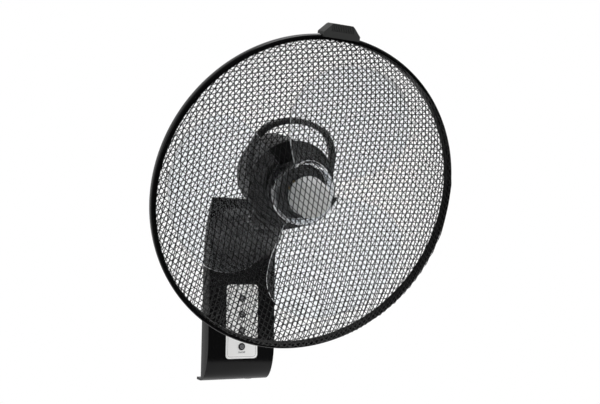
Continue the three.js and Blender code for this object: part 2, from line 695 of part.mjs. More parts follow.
function addHousing() {
  add(fan, "wall_plate", wallPlate(), MATERIALS.steel);
  add(fan, "rear_case", rearCase(), MATERIALS.blackPlastic);
  add(fan, "front_cover", frontCover(), MATERIALS.blackPlastic);
  const headBack = BACK_WALL_Y + REST_GAP + SCREW_HEAD;
  screwPlaces.forEach(([x, z], i) => {
    const screw = turned(
      [
        [0, CASE_FLOOR_Y - SCREW_LENGTH + REST_GAP],
        [SCREW_RADIUS, CASE_FLOOR_Y - SCREW_LENGTH + REST_GAP],
        [SCREW_RADIUS, BACK_WALL_Y + REST_GAP],
        [SCREW_HEAD_RADIUS, BACK_WALL_Y + REST_GAP],
        [SCREW_HEAD_FACE, headBack],
        [0, headBack],
      ],
      SMALL_SIDES,
    );
    add(fan, `case_screw_${i + 1}`, screw.translate(x, 0, z), MATERIALS.steel);
  });
  const collar = GLAND_RADIUS + GLAND_FLANGE;
  const gland = turned(
    [
      [GLAND_BORE, FOOT_OUTER_Z - REST_GAP - GLAND_FLANGE_THICK],
      [collar, FOOT_OUTER_Z - REST_GAP - GLAND_FLANGE_THICK],
      [collar, FOOT_OUTER_Z - REST_GAP],
      [GLAND_RADIUS, FOOT_OUTER_Z - REST_GAP],
      [GLAND_RADIUS, FOOT_INNER_Z + REST_GAP],
      [collar, FOOT_INNER_Z + REST_GAP],
      [collar, FOOT_INNER_Z + REST_GAP + GLAND_FLANGE_THICK],
      [GLAND_BORE, FOOT_INNER_Z + REST_GAP + GLAND_FLANGE_THICK],
    ],
    SMALL_SIDES,
  ).rotateX(Math.PI / 2);
  add(fan, "cord_gland", gland.translate(GLAND_X, GLAND_Y, 0), MATERIALS.rubber);
}

// ---------------------------------------------------------------- panel and electronics

const PANEL_BACK = HOUSING_DEPTH - PANEL_RECESS + REST_GAP;
const BOARD_FRONT_Y = COVER_INNER_Y + STANDOFF + REST_GAP;

function controlPanel() {
  const shape = roundedRect(PANEL_WIDTH, PANEL_HEIGHT, PANEL_CORNER, 0, PANEL_CENTRE);
  for (const z of buttonHeights) {
    const hole = new THREE.Path();
    hole.absarc(0, z, BUTTON_RADIUS + BORE_GAP, 0, Math.PI * 2);
    shape.holes.push(hole);
  }
  return plate(shape, PANEL_BACK, PANEL_BACK + PANEL_THICK, HOLE_STEPS);
}

function pushButton() {
  const front = -(PANEL_BACK + PANEL_THICK + BUTTON_PROUD);
  const flangeFront = COVER_INNER_Y + REST_GAP;
  const flangeBack = flangeFront + BUTTON_FLANGE_THICK;
  const stemBack = BOARD_FRONT_Y - SWITCH_HEIGHT - BUTTON_TRAVEL - REST_GAP;
  return turned(
    [
      [0, front],
      [BUTTON_RADIUS - BUTTON_BEVEL, front],
      [BUTTON_RADIUS, front + BUTTON_BEVEL],
      [BUTTON_RADIUS, flangeFront],
      [BUTTON_RADIUS + BUTTON_FLANGE, flangeFront],
      [BUTTON_RADIUS + BUTTON_FLANGE, flangeBack],
      [BUTTON_STEM_RADIUS, flangeBack],
      [BUTTON_STEM_RADIUS, stemBack],
      [0, stemBack],
    ],
    BUTTON_SIDES,
  );
}

function circuitBoard() {
  const half = BOARD_WIDTH / 2;
  const low = PANEL_CENTRE - BOARD_HEIGHT / 2;
  const parts = [box(-half, half, BOARD_FRONT_Y, BOARD_FRONT_Y + BOARD_THICK, low, low + BOARD_HEIGHT)];
  const size = SWITCH_SIZE / 2;
  const switchBack = BOARD_FRONT_Y + BOARD_THICK / 2;
  for (const z of buttonHeights) {
    parts.push(box(-size, size, BOARD_FRONT_Y - SWITCH_HEIGHT, switchBack, z - size, z + size));
  }
  return join(...parts);
}

function addControls() {
  add(fan, "control_panel", controlPanel(), MATERIALS.panel);
  buttonHeights.forEach((z, i) => {
    add(fan, `button_${i + 1}`, pushButton().translate(0, 0, z), MATERIALS.button);
  });
  add(fan, "circuit_board", circuitBoard(), MATERIALS.board);
  const back = CASE_FLOOR_Y - REST_GAP;
  const { x, y, z } = CAPACITOR;
  const low = CAPACITOR_CENTRE - z / 2;
  add(fan, "run_capacitor", box(-x / 2, x / 2, back - y, back, low, low + z), MATERIALS.grey);
}

// ---------------------------------------------------------------- support arm and tilt joint

// The oblong plug at the arm's root, and with a gap the hole that it passes through.
function tenonPrism(gap, nearWall, farFromWall) {
  const width = TENON.x + 2 * gap;
  const height = TENON.z + 2 * gap;
  const shape = roundedRect(width, height, TENON_CORNER + gap, 0, TENON.centre);
  return plate(shape, nearWall, farFromWall, CORNER_STEPS);
}

function armRings(wall, sections) {
  return sections.map(({ y, half, low, high }) =>
    oblong(half - wall, (high - low) / 2 - wall, (low + high) / 2, y, ARM_SQUARENESS),
  );
}

// The space behind the cover's front face, grown by `gap`, which the arm's root is cut back to.
function spaceBehindFace(gap) {
  const shape = new THREE.Shape(frontLine(-gap, HOUSING_TOP).getPoints(CURVE_STEPS));
  shape.lineTo(0, FOOT_OUTER_Z);
  shape.lineTo(0, HOUSING_TOP);
  return prism(shape, SIDE_VIEW, -HOUSING_WIDTH / 2, HOUSING_WIDTH / 2);
}

function supportArm() {
  const outside = cut(loft(armRings(0, ARM_SECTIONS)), spaceBehindFace(REST_GAP));
  const fork = rod("x", 0, FORK_RADIUS, -FORK_HALF, FORK_HALF, FORK_SIDES).translate(0, HINGE_Y, HINGE_Z);
  const tenon = tenonPrism(0, HOUSING_DEPTH - TENON_DEPTH, HOUSING_DEPTH + TENON_OVERLAP);
  const slotHalf = TONGUE_HALF + REST_GAP + WASHER_THICK + REST_GAP;
  const slotBack = HINGE_Y + FORK_RADIUS + SLOT_CLEAR;
  const slotReach = 2 * FORK_RADIUS;
  const hollow = ARM_SECTIONS.filter(({ y }) => y >= ARM_CAVITY_END);
  const cavity = cut(loft(armRings(ARM_WALL, hollow)), spaceBehindFace(REST_GAP + ARM_WALL));
  const duct = plate(
    roundedRect(TENON.x - 2 * ARM_WALL, TENON.z - 2 * ARM_WALL, TENON_CORNER, 0, TENON.centre),
    HOUSING_DEPTH - TENON_DEPTH - OVERCUT, HOUSING_DEPTH + TENON_OVERLAP + OVERCUT, CORNER_STEPS,
  );
  return cut(
    join(outside, fork, tenon),
    duct,
    cavity,
    box(-slotHalf, slotHalf, HINGE_Y - slotReach, slotBack, HINGE_Z - slotReach, HINGE_Z + slotReach),
    rod("x", 0, BOLT_RADIUS + BORE_GAP, -FORK_HALF - OVERCUT, FORK_HALF + OVERCUT)
      .translate(0, HINGE_Y, HINGE_Z),
  );
}

function tiltBolt() {
  const headFrom = FORK_HALF + REST_GAP;
  return turned(
    [
      [0, -headFrom - BOLT_HEAD - BOLT_END],
      [BOLT_RADIUS, -headFrom - BOLT_HEAD - BOLT_END],
      [BOLT_RADIUS, headFrom],
      [BOLT_HEAD_RADIUS, headFrom],
      [BOLT_HEAD_FACE, headFrom + BOLT_HEAD],
      [0, headFrom + BOLT_HEAD],
    ],
    SMALL_SIDES,
  ).rotateZ(-Math.PI / 2);
}

function addArm() {
  add(fan, "support_arm", supportArm(), MATERIALS.blackPlastic);
  const place = (geometry) => geometry.translate(0, HINGE_Y, HINGE_Z);
  add(fan, "tilt_bolt", place(tiltBolt()), MATERIALS.steel);
  const nutFrom = -(FORK_HALF + REST_GAP + BOLT_HEAD);
  const nut = cut(
    rod("x", 0, BOLT_HEAD_RADIUS, nutFrom, nutFrom + BOLT_HEAD, 6),
    rod("x", 0, BOLT_RADIUS + BORE_GAP, nutFrom - OVERCUT, nutFrom + BOLT_HEAD + OVERCUT),
  );
  add(fan, "tilt_nut", place(nut), MATERIALS.steel);
  for (const [name, side] of [["left", -1], ["right", 1]]) {
    const near = side * (TONGUE_HALF + REST_GAP);
    const far = near + side * WASHER_THICK;
    const [from, to] = [near, far].sort((a, b) => a - b);
    const washer = rod("x", BOLT_RADIUS + BORE_GAP, WASHER_RADIUS, from, to, WASHER_SIDES);
    add(fan, `tilt_washer_${name}`, place(washer), MATERIALS.steel);
  }
}

// ---------------------------------------------------------------- neck, on the tilt axis

function addNeck() {
  const tongue = rod("x", 0, TONGUE_RADIUS, -TONGUE_HALF, TONGUE_HALF, FORK_SIDES);
  const flangeLow = NECK_TOP - NECK_FLANGE_THICK + HINGE_DROP;
  const top = NECK_TOP + HINGE_DROP;
  const stem = common(
    rod("z", 0, NECK_RADIUS, 0, top, MEDIUM_SIDES),
    box(-TONGUE_HALF, TONGUE_HALF, -NECK_RADIUS, NECK_RADIUS, 0, top),
  );
  const flange = rod("z", 0, NECK_FLANGE_RADIUS, flangeLow, top, MEDIUM_SIDES);
  const neck = cut(
    join(tongue, stem, flange),
    rod("x", 0, BOLT_RADIUS + BORE_GAP, -FORK_HALF, FORK_HALF),
    rod("z", 0, SPINDLE_RADIUS + BORE_GAP, SPINDLE_FOOT + HINGE_DROP - REST_GAP, top + OVERCUT),
  );
  add(tilting, "tilt_neck", neck, MATERIALS.blackPlastic);
  const spindle = rod("z", 0, SPINDLE_RADIUS, SPINDLE_FOOT, SPINDLE_TOP);
  add(tilting, "swivel_spindle", spindle.translate(0, 0, HINGE_DROP), MATERIALS.steel);
  add(tilting, "swing_lever", swingLever().translate(0, 0, HINGE_DROP), MATERIALS.steel);
}

const LEVER_TOP = SWIVEL_TUBE_TOP + LEVER_THICK + LEVER_LIFT;
const LINK_LOW = LEVER_TOP + LEVER_PIN + PIVOT_GAP;
const LINK_HIGH = LINK_LOW + LINK_THICK;
const CRANK_LOW = LINK_HIGH + REST_GAP;
const SWING_MOTOR_LOW = CRANK_LOW + CRANK_THICK + REST_GAP;

function swingLever() {
  const low = LEVER_TOP - LEVER_THICK;
  const hub = rod("z", 0, LEVER_HUB, low, LEVER_TOP, CORE_SIDES);
  const eye = rod("z", 0, LEVER_EYE, low, LEVER_TOP).translate(LEVER_REACH, 0, 0);
  const bar = box(0, LEVER_REACH, -LEVER_BAR_HALF, LEVER_BAR_HALF, low, LEVER_TOP);
  const pin = rod("z", 0, SWING_PIN_RADIUS, low, LEVER_TOP + LEVER_PIN).translate(LEVER_REACH, 0, 0);
  const bore = rod("z", 0, SPINDLE_RADIUS + BORE_GAP, low - OVERCUT, LEVER_TOP + OVERCUT);
  return cut(join(hub, eye, bar, pin), bore);
}

// ---------------------------------------------------------------- swing drive, on the head

function swivelBracket() {
  const face = station(BRACKET_FRONT);
  const tubeLow = NECK_TOP + REST_GAP;
  const shelfLow = SWING_MOTOR_LOW + SWING_MOTOR_HEIGHT + REST_GAP;
  const shelfBack = station(CRANK_STATION) + SWING_MOTOR_RADIUS / 2;
  return cut(
    join(
      box(-BRACKET_HALF, BRACKET_HALF, face, face + BRACKET_THICK, tubeLow, shelfLow + SHELF_THICK),
      box(-BRACKET_WEB_HALF, BRACKET_WEB_HALF, face, 0, tubeLow, SWIVEL_TUBE_TOP),
      rod("z", 0, SWIVEL_TUBE_RADIUS, tubeLow, SWIVEL_TUBE_TOP, MEDIUM_SIDES),
      box(CRANK_X - BRACKET_HALF, BRACKET_HALF, face, shelfBack, shelfLow, shelfLow + SHELF_THICK),
    ),
    rod("z", 0, SPINDLE_RADIUS + BORE_GAP, tubeLow - OVERCUT, SWIVEL_TUBE_TOP + OVERCUT),
    box(
      CRANK_X - BRACKET_HALF, BRACKET_HALF + OVERCUT,
      face - OVERCUT, face + BRACKET_THICK + OVERCUT,
      LINK_LOW - BRACKET_WINDOW, CRANK_LOW,
    ),
  );
}

function addSwingDrive() {
  add(head, "swivel_bracket", swivelBracket(), MATERIALS.cast);
  const crankY = station(CRANK_STATION);
  const motor = join(
    rod("z", 0, SWING_MOTOR_RADIUS, SWING_MOTOR_LOW, SWING_MOTOR_LOW + SWING_MOTOR_HEIGHT, MEDIUM_SIDES),
    rod("z", 0, SWING_SHAFT_RADIUS, CRANK_LOW + REST_GAP, SWING_MOTOR_LOW + OVERCUT),
  );
  add(head, "swing_motor", motor.translate(CRANK_X, crankY, 0), MATERIALS.steel);
  const crank = cut(
    join(
      rod("z", 0, CRANK_RADIUS, CRANK_LOW, CRANK_LOW + CRANK_THICK, MEDIUM_SIDES),
      rod("z", 0, SWING_PIN_RADIUS, LINK_LOW - CRANK_PIN_END, CRANK_LOW + OVERCUT)
        .translate(CRANK_THROW, 0, 0),
    ),
    rod("z", 0, SWING_SHAFT_RADIUS + BORE_GAP, CRANK_LOW - OVERCUT, CRANK_LOW + CRANK_THICK + OVERCUT),
  );
  add(head, "swing_crank", crank.translate(CRANK_X, crankY, 0), MATERIALS.white);
  const from = new THREE.Vector2(CRANK_X + CRANK_THROW, crankY);
  const to = new THREE.Vector2(LEVER_REACH, 0);
  const length = from.distanceTo(to);
  const pinHole = () =>
    rod("z", 0, SWING_PIN_RADIUS + BORE_GAP, LINK_LOW - OVERCUT, LINK_HIGH + OVERCUT);
  const link = cut(
    join(
      box(-LINK_BAR_HALF, LINK_BAR_HALF, 0, length, LINK_LOW, LINK_HIGH),
      rod("z", 0, LEVER_EYE, LINK_LOW, LINK_HIGH),
      rod("z", 0, LEVER_EYE, LINK_LOW, LINK_HIGH).translate(0, length, 0),
    ),
    pinHole(),
    pinHole().translate(0, length, 0),
  );
  link.rotateZ(to.clone().sub(from).angle() - Math.PI / 2).translate(from.x, from.y, 0);
  add(head, "swing_link", link, MATERIALS.steel);
}

// ---------------------------------------------------------------- motor

const ringOf = (inner, outer, from, to, sides) =>
  turned(ringProfile(inner, outer, station(from), station(to)), sides);

function motorFrontCover() {
  const plateBack = COVER_FACE + COVER_PLATE;
  const inner = MOTOR_RADIUS - MOTOR_WALL;
  const { flat, knee, drop, depth } = MOTOR_ROUND;
  const profile = [
    [GUARD_NECK_BORE, GUARD_NECK_FRONT],
    [GUARD_NECK_RADIUS, GUARD_NECK_FRONT],
    [GUARD_NECK_RADIUS, COVER_FACE],
    [MOTOR_RADIUS - flat, COVER_FACE],
    [MOTOR_RADIUS - knee, COVER_FACE + drop],
    [MOTOR_RADIUS, COVER_FACE + depth],
    [MOTOR_RADIUS, COVER_SPLIT],
    [inner, COVER_SPLIT],
    [inner, COVER_FACE + depth],
    [inner - knee, plateBack + drop / 2],
    [MOTOR_RADIUS - flat, plateBack],
    [GUARD_NECK_BORE, plateBack],
  ];
  return turned(profile.map(([r, s]) => [r, station(s)]));
}

function rearRings(wall) {
  const last = REAR_SECTIONS.length - 1;
  const inner = MOTOR_RADIUS - wall;
  return REAR_SECTIONS.map(({ s, sideways, upwards }, i) => {
    const y = station(i === last ? s - wall : s) - (i === 0 ? wall : 0);
    return oblong(inner - sideways, inner - upwards, 0, y, 2);
  });
}

function motorRearCover() {
  const ventTools = Array.from({ length: VENT_COUNT }, (_, i) => {
    const z = (i - (VENT_COUNT - 1) / 2) * VENT_PITCH;
    const half = VENT_HEIGHT / 2;
    const back = station(VENT_START + 2 * VENT_HALF);
    return box(-VENT_HALF, VENT_HALF, station(VENT_START), back, z - half, z + half);
  });
  return cut(
    loft(rearRings(0)),
    loft(rearRings(MOTOR_WALL)),
    rod("z", 0, NECK_OPENING, -2 * MOTOR_RADIUS, NECK_TOP + NECK_FLANGE_THICK, MEDIUM_SIDES),
    ...ventTools,
  );
}

function carryHandle() {
  const half = HANDLE_PATH.map(([x, z]) => new THREE.Vector3(x, 0, z));
  const mirrored = half.slice(0, -1).reverse().map((p) => new THREE.Vector3(-p.x, 0, p.z));
  const path = new THREE.CatmullRomCurve3([...half, ...mirrored], false, "centripetal");
  const section = roundedRect(HANDLE_THICK, HANDLE_WIDTH, HANDLE_CORNER).getPoints(1);
  const rings = path.getPoints(HANDLE_STEPS).map((point, i) => {
    const along = path.getTangent(i / HANDLE_STEPS);
    const out = new THREE.Vector3(along.z, 0, -along.x);
    const middle = station(HANDLE_STATION);
    return section.map((p) => point.clone().addScaledVector(out, p.x).setY(middle + p.y));
  });
  return loft(rings);
}

// A cup round one end of the stator, with a boss for its bearing, from its plate to the stator.
function endShield(plateAt, towards) {
  const at = (depth) => station(plateAt + towards * depth);
  return turned([
    [BEARING_RADIUS + BORE_GAP, at(0)],
    [STATOR_RADIUS, at(0)],
    [STATOR_RADIUS, at(SHIELD_DEPTH)],
    [STATOR_RADIUS - SHIELD_WALL, at(SHIELD_DEPTH)],
    [STATOR_RADIUS - SHIELD_WALL, at(SHIELD_WALL)],
    [BEARING_RADIUS + 2 * SHIELD_WALL, at(SHIELD_WALL)],
    [BEARING_RADIUS + 2 * SHIELD_WALL, at(BEARING_LENGTH + BEARING_BOSS_SPARE)],
    [BEARING_RADIUS + BORE_GAP, at(BEARING_LENGTH + BEARING_BOSS_SPARE)],
  ], CORE_SIDES);
}

function addMotor() {
  add(head, "motor_front_cover", motorFrontCover(), MATERIALS.blackPlastic);
  add(head, "motor_rear_cover", motorRearCover(), MATERIALS.blackPlastic);
  add(head, "carry_handle", carryHandle(), MATERIALS.blackPlastic);
  add(head, "front_end_shield", endShield(SHIELD_FRONT, 1), MATERIALS.cast);
  add(head, "rear_end_shield", endShield(SHIELD_BACK, -1), MATERIALS.cast);
  const bore = SHAFT_RADIUS + BORE_GAP;
  const bearing = (from) => ringOf(bore, BEARING_RADIUS, from, from + BEARING_LENGTH, SMALL_SIDES);
  add(head, "front_bearing", bearing(SHIELD_FRONT + BEARING_SET_IN), MATERIALS.bronze);
  add(head, "rear_bearing", bearing(SHIELD_BACK - BEARING_SET_IN - BEARING_LENGTH), MATERIALS.bronze);
  const stator = ringOf(ROTOR_RADIUS + AIR_GAP, STATOR_RADIUS, STATOR_FRONT, STATOR_BACK, CORE_SIDES);
  add(head, "stator_core", stator, MATERIALS.laminations);
  const { inner, outer, clear } = WINDING;
  const windingFront = SHIELD_FRONT + SHIELD_WALL + clear;
  const windingBack = SHIELD_BACK - SHIELD_WALL - clear;
  const winding = (from, to) => ringOf(inner, outer, from, to, CORE_SIDES);
  add(head, "front_winding", winding(windingFront, STATOR_FRONT - REST_GAP), MATERIALS.copper);
  add(head, "rear_winding", winding(STATOR_BACK + REST_GAP, windingBack), MATERIALS.copper);
}

// ---------------------------------------------------------------- guard

// The grille's strands cross on a lattice of diamonds that is pressed into a cap. `surface` gives
// [radius, station] for a plan radius and a depth below the cap's outside. Each strand has a flat
// outside and comes to a ridge inside. Each cell of the lattice has its four half strands.
function lattice(surface, reach, turn, mirror) {
  const turnBy = new THREE.Matrix4().makeRotationY(THREE.MathUtils.degToRad(turn));
  const pitch = (x, z) =>
    new THREE.Vector3(x * mirror, 0, z).multiplyScalar(STRAND_SPACING).applyMatrix4(turnBy);
  const upright = pitch(0, CELL_UPRIGHT);
  const slant = pitch(CELL_SLANT.x, CELL_SLANT.z);
  const acrossUpright = Math.abs(upright.x * slant.z - upright.z * slant.x) / upright.length();
  const inset = 1 - STRAND_WIDTH / acrossUpright;
  const points = [];
  const faces = [];
  const known = new Map();
  const plan = (i, j) => upright.clone().multiplyScalar(i).addScaledVector(slant, j);
  function lift(p, depth) {
    const rho = Math.hypot(p.x, p.z);
    const [r, s] = surface(rho, depth);
    const scale = rho > 0 ? r / rho : 1;
    points.push(new THREE.Vector3(p.x * scale, station(s), p.z * scale));
    return points.length - 1;
  }
  function corner(i, j, depth) {
    const key = `${i},${j},${depth}`;
    if (!known.has(key)) known.set(key, lift(plan(i, j), depth));
    return known.get(key);
  }
  const quad = (a, b, c, d) => faces.push([a, b, c], [a, c, d]);
  const range = Math.ceil((2 * reach) / Math.min(upright.length(), slant.length()));
  const inside = (i, j) => plan(i + 0.5, j + 0.5).length() < reach;
  const steps = [[0, 0], [1, 0], [1, 1], [0, 1]];
  const beyond = [[0, -1], [1, 0], [0, 1], [-1, 0]];
  for (let i = -range; i < range; i++) {
    for (let j = -range; j < range; j++) {
      if (!inside(i, j)) continue;
      const middle = plan(i + 0.5, j + 0.5);
      const flat = steps.map(([a, b]) => corner(i + a, j + b, 0));
      const ridge = steps.map(([a, b]) => corner(i + a, j + b, STRAND_DEPTH));
      const hole = steps.map(([a, b]) => lift(plan(i + a, j + b).lerp(middle, 1 - inset), 0));
      for (let side = 0; side < 4; side++) {
        const next = (side + 1) % 4;
        quad(flat[side], flat[next], hole[next], hole[side]);
        quad(hole[side], hole[next], ridge[next], ridge[side]);
        const [di, dj] = beyond[side];
        if (!inside(i + di, j + dj)) quad(flat[next], flat[side], ridge[side], ridge[next]);
      }
    }
  }
  return closedMesh(points, faces);
}

// A point on a curve of [radius, station], moved in from the outside by a depth.
function sunk(curve, rho, depth, inwards) {
  const step = 0.5;
  const signed = (x) => (x < 0 ? [-curve(-x)[0], curve(-x)[1]] : curve(x));
  const [r0, s0] = signed(rho - step);
  const [r1, s1] = signed(rho + step);
  const length = Math.hypot(r1 - r0, s1 - s0);
  const [r, s] = curve(rho);
  return [r + (inwards * depth * (s0 - s1)) / length, s + (inwards * depth * (r1 - r0)) / length];
}

function frontCurve(rho) {
  if (rho <= SHOULDER_RADIUS) {
    return [rho, -SKIRT_HEIGHT - DOME_RISE * (1 - (rho / SHOULDER_RADIUS) ** DOME_POWER)];
  }
  const down = rho - SHOULDER_RADIUS;
  return [SHOULDER_RADIUS - (SKIRT_FLARE * down) / SKIRT_HEIGHT, down - SKIRT_HEIGHT];
}

function rearCurve(rho) {
  if (rho <= BOWL_RADIUS) return [rho, BOWL_EDGE + BOWL_DEPTH * (1 - (rho / BOWL_RADIUS) ** BOWL_POWER)];
  return [BOWL_RADIUS, BOWL_EDGE - (rho - BOWL_RADIUS)];
}

const HOOP_INNER = HOOP_OUTER - HOOP_DEPTH;
const RING_FRONT = -(HOOP_WIDTH + REST_GAP * 1.5 + RING_LIP) + RING_OFFSET;
const FRONT_HOOP = RING_FRONT + RING_LIP + REST_GAP;
const REAR_HOOP = FRONT_HOOP + HOOP_WIDTH + REST_GAP;
const RING_BACK = REAR_HOOP + HOOP_WIDTH + REST_GAP + RING_LIP;

function frontGuard() {
  const reach = SHOULDER_RADIUS + SKIRT_HEIGHT + HOOP_WIDTH + SKIRT_SPARE;
  const strands = lattice((rho, depth) => sunk(frontCurve, rho, depth, 1), reach, 0, 1);
  const kept = common(
    strands,
    ringOf(0, 2 * GUARD_RADIUS, -2 * (SKIRT_HEIGHT + DOME_RISE), FRONT_HOOP + HOOP_WIDTH / 2),
  );
  return join(kept, ringOf(HOOP_INNER, HOOP_OUTER, FRONT_HOOP, FRONT_HOOP + HOOP_WIDTH, GUARD_SIDES));
}

function rearGuard() {
  const reach = BOWL_RADIUS + BOWL_EDGE + HOOP_WIDTH;
  const strands = lattice((rho, depth) => sunk(rearCurve, rho, depth, -1), reach, REAR_TURN, -1);
  const kept = common(
    strands,
    ringOf(SEAT_RADIUS - SEAT_OVERLAP, 2 * GUARD_RADIUS, REAR_HOOP + HOOP_WIDTH / 2, 2 * BOWL_DEPTH),
  );
  const seatBack = GUARD_SEAT_FRONT + SEAT_THICK;
  const seat = ringOf(GUARD_NECK_RADIUS + REST_GAP, SEAT_RADIUS, GUARD_SEAT_FRONT, seatBack);
  const hoop = ringOf(HOOP_INNER, HOOP_OUTER, REAR_HOOP, REAR_HOOP + HOOP_WIDTH, GUARD_SIDES);
  return join(kept, seat, hoop);
}

function guardRing() {
  const lipRadius = GUARD_RADIUS - RING_WALL - RING_LIP_DEPTH;
  const inner = GUARD_RADIUS - RING_WALL;
  const profile = [
    [lipRadius, RING_FRONT],
    [GUARD_RADIUS, RING_FRONT],
    [GUARD_RADIUS, RING_BACK],
    [lipRadius, RING_BACK],
    [lipRadius, RING_BACK - RING_LIP],
    [inner, RING_BACK - RING_LIP],
    [inner, RING_FRONT + RING_LIP],
    [lipRadius, RING_FRONT + RING_LIP],
  ];
  const band = turned(profile.map(([r, s]) => [r, station(s)]), GUARD_SIDES);
  const split = RING_SPLIT / 2;
  return cut(band, box(-split, split, station(-GUARD_RADIUS), station(GUARD_RADIUS), 0, 2 * GUARD_RADIUS));
}

function guardClip() {
  const { base, top, height, shoulder, front, back, chamfer } = CLIP;
  const crown = GUARD_RADIUS + height;
  const outline = shapeOf([
    [-base, GUARD_RADIUS - CLIP_HOOK],
    [base, GUARD_RADIUS - CLIP_HOOK],
    [base, GUARD_RADIUS + shoulder - chamfer],
    [top + chamfer, crown - chamfer],
    [top, crown],
    [-top, crown],
    [-top - chamfer, crown - chamfer],
    [-base, GUARD_RADIUS + shoulder - chamfer],
  ]);
  const block = plate(outline, -station(back), -station(front));
  return cut(block, ringOf(0, GUARD_RADIUS + REST_GAP, RING_FRONT - REST_GAP, 2 * back, GUARD_SIDES));
}

function guardNut() {
  const count = NUT_LOBES * NUT_LOBE_STEPS;
  const shape = new THREE.Shape(
    Array.from({ length: count }, (_, i) => {
      const angle = (i / count) * Math.PI * 2;
      const radius = NUT_RADIUS + NUT_WAVE * Math.cos(NUT_LOBES * angle);
      return new THREE.Vector2(radius * Math.cos(angle), radius * Math.sin(angle));
    }),
  );
  const bore = new THREE.Path();
  bore.absarc(0, 0, GUARD_NECK_RADIUS + BORE_GAP, 0, Math.PI * 2);
  shape.holes.push(bore);
  return plate(shape, -station(GUARD_SEAT_FRONT - REST_GAP), -station(NUT_FRONT), SMALL_SIDES);
}

function addGuard() {
  add(head, "rear_guard", rearGuard(), MATERIALS.mesh);
  add(head, "guard_nut", guardNut(), MATERIALS.blackPlastic);
  add(head, "front_guard", frontGuard(), MATERIALS.mesh);
  add(head, "guard_ring", guardRing(), MATERIALS.blackPlastic);
  add(head, "guard_clip", guardClip(), MATERIALS.grey);
}

// ---------------------------------------------------------------- rotor

// A point on a blade: `out` runs from 0 at the root to 1 at the tip, `across` from -1 on the leading
// edge to 1 on the trailing edge. The edges draw together in a round tip, and the blade twists.
function bladePoint(out, across, lift) {
  const radius = BLADE_ROOT + (BLADE_RADIUS - BLADE_ROOT) * Math.sin((Math.PI / 2) * out);
  const spread = BLADE_SPREAD * Math.sqrt(Math.max(0, 1 - (radius / BLADE_RADIUS) ** BLADE_ROUNDING));
  const sweep = BLADE_SWEEP * (1 - (radius / BLADE_SWEEP_RADIUS) ** 2);
  const degreesOff = spread * across;
  const pitch = BLADE_PITCH_ROOT + BLADE_PITCH_RISE * radius;
  const camber = BLADE_CAMBER * (1 - across * across);
  const s = BLADE_STATION - BLADE_LEAN * (radius - BLADE_ROOT) - pitch * degreesOff + camber;
  const angle = THREE.MathUtils.degToRad(sweep + degreesOff);
  return new THREE.Vector3(radius * Math.cos(angle), station(s + lift), radius * Math.sin(angle));
}

function blade() {
  const rings = [];
  for (let i = 0; i <= BLADE_STEPS; i++) {
    const out = (i / BLADE_STEPS) * BLADE_TIP_SHARE;
    const across = Array.from({ length: BLADE_STEPS + 1 }, (_, j) => (2 * j) / BLADE_STEPS - 1);
    rings.push([
      ...across.map((t) => bladePoint(out, t, -BLADE_THICK / 2)),
      ...across.reverse().map((t) => bladePoint(out, t, BLADE_THICK / 2)),
    ]);
  }
  return ribbonLoft(rings);
}

// A loft whose ends are strips between the two faces of a thin piece.
function ribbonLoft(rings) {
  const count = rings[0].length;
  const faces = [];
  for (let ring = 0; ring + 1 < rings.length; ring++) {
    for (let i = 0; i < count; i++) {
      const a = ring * count + i;
      const b = ring * count + ((i + 1) % count);
      faces.push([a, b, b + count], [a, b + count, a + count]);
    }
  }
  const last = (rings.length - 1) * count;
  for (let i = 0; i < count / 2 - 1; i++) {
    const opposite = count - 1 - i;
    faces.push([i, opposite, i + 1], [i + 1, opposite, opposite - 1]);
    faces.push([last + i, last + i + 1, last + opposite]);
    faces.push([last + i + 1, last + opposite - 1, last + opposite]);
  }
  return closedMesh(rings.flat(), faces);
}

function hub() {
  const bore = SHAFT_RADIUS + BORE_GAP;
  const { flat, knee, drop, depth } = HUB_ROUND;
  const profile = [
    [bore, HUB_FRONT],
    [HUB_RADIUS - flat, HUB_FRONT],
    [HUB_RADIUS - knee, HUB_FRONT + drop],
    [HUB_RADIUS, HUB_FRONT + depth],
    [HUB_RADIUS, HUB_BACK],
    [HUB_RADIUS - HUB_WALL, HUB_BACK],
    [HUB_RADIUS - HUB_WALL, HUB_FRONT + depth],
    [HUB_RADIUS - flat, HUB_FRONT + HUB_WALL],
    [HUB_BOSS_RADIUS, HUB_FRONT + HUB_WALL],
    [HUB_BOSS_RADIUS, HUB_BOSS_BACK],
    [bore, HUB_BOSS_BACK],
  ];
  return turned(profile.map(([r, s]) => [r, station(s)]));
}

function blades() {
  const parts = [hub()];
  for (let i = 0; i < BLADE_COUNT; i++) {
    const angle = FIRST_BLADE + (360 / BLADE_COUNT) * i;
    parts.push(blade().rotateY(-THREE.MathUtils.degToRad(angle)));
  }
  const half = PIN_RADIUS + BORE_GAP;
  const slot = box(
    -HUB_BOSS_RADIUS - OVERCUT, HUB_BOSS_RADIUS + OVERCUT,
    station(PIN_STATION) - half, station(HUB_BOSS_BACK + OVERCUT), -half, half,
  );
  return cut(join(...parts), slot);
}

function spinner() {
  const bore = SHAFT_RADIUS + BORE_GAP;
  const back = HUB_FRONT - REST_GAP;
  const inner = SPINNER_RADIUS - SPINNER_WALL;
  const profile = [
    ...SPINNER_OUTLINE.map(([share, depth]) => [share * SPINNER_RADIUS, SPINNER_FRONT + depth]),
    [SPINNER_RADIUS, back],
    [inner, back],
    [inner, SPINNER_FRONT + SPINNER_SHOULDER],
    [HUB_BOSS_RADIUS, SPINNER_FRONT + SPINNER_FLOOR],
    [HUB_BOSS_RADIUS, back],
    [bore, back],
    [bore, SHAFT_FRONT - SPINNER_SPARE],
    [0, SHAFT_FRONT - SPINNER_SPARE],
  ];
  return turned(profile.map(([r, s]) => [r, station(s)]), MEDIUM_SIDES);
}

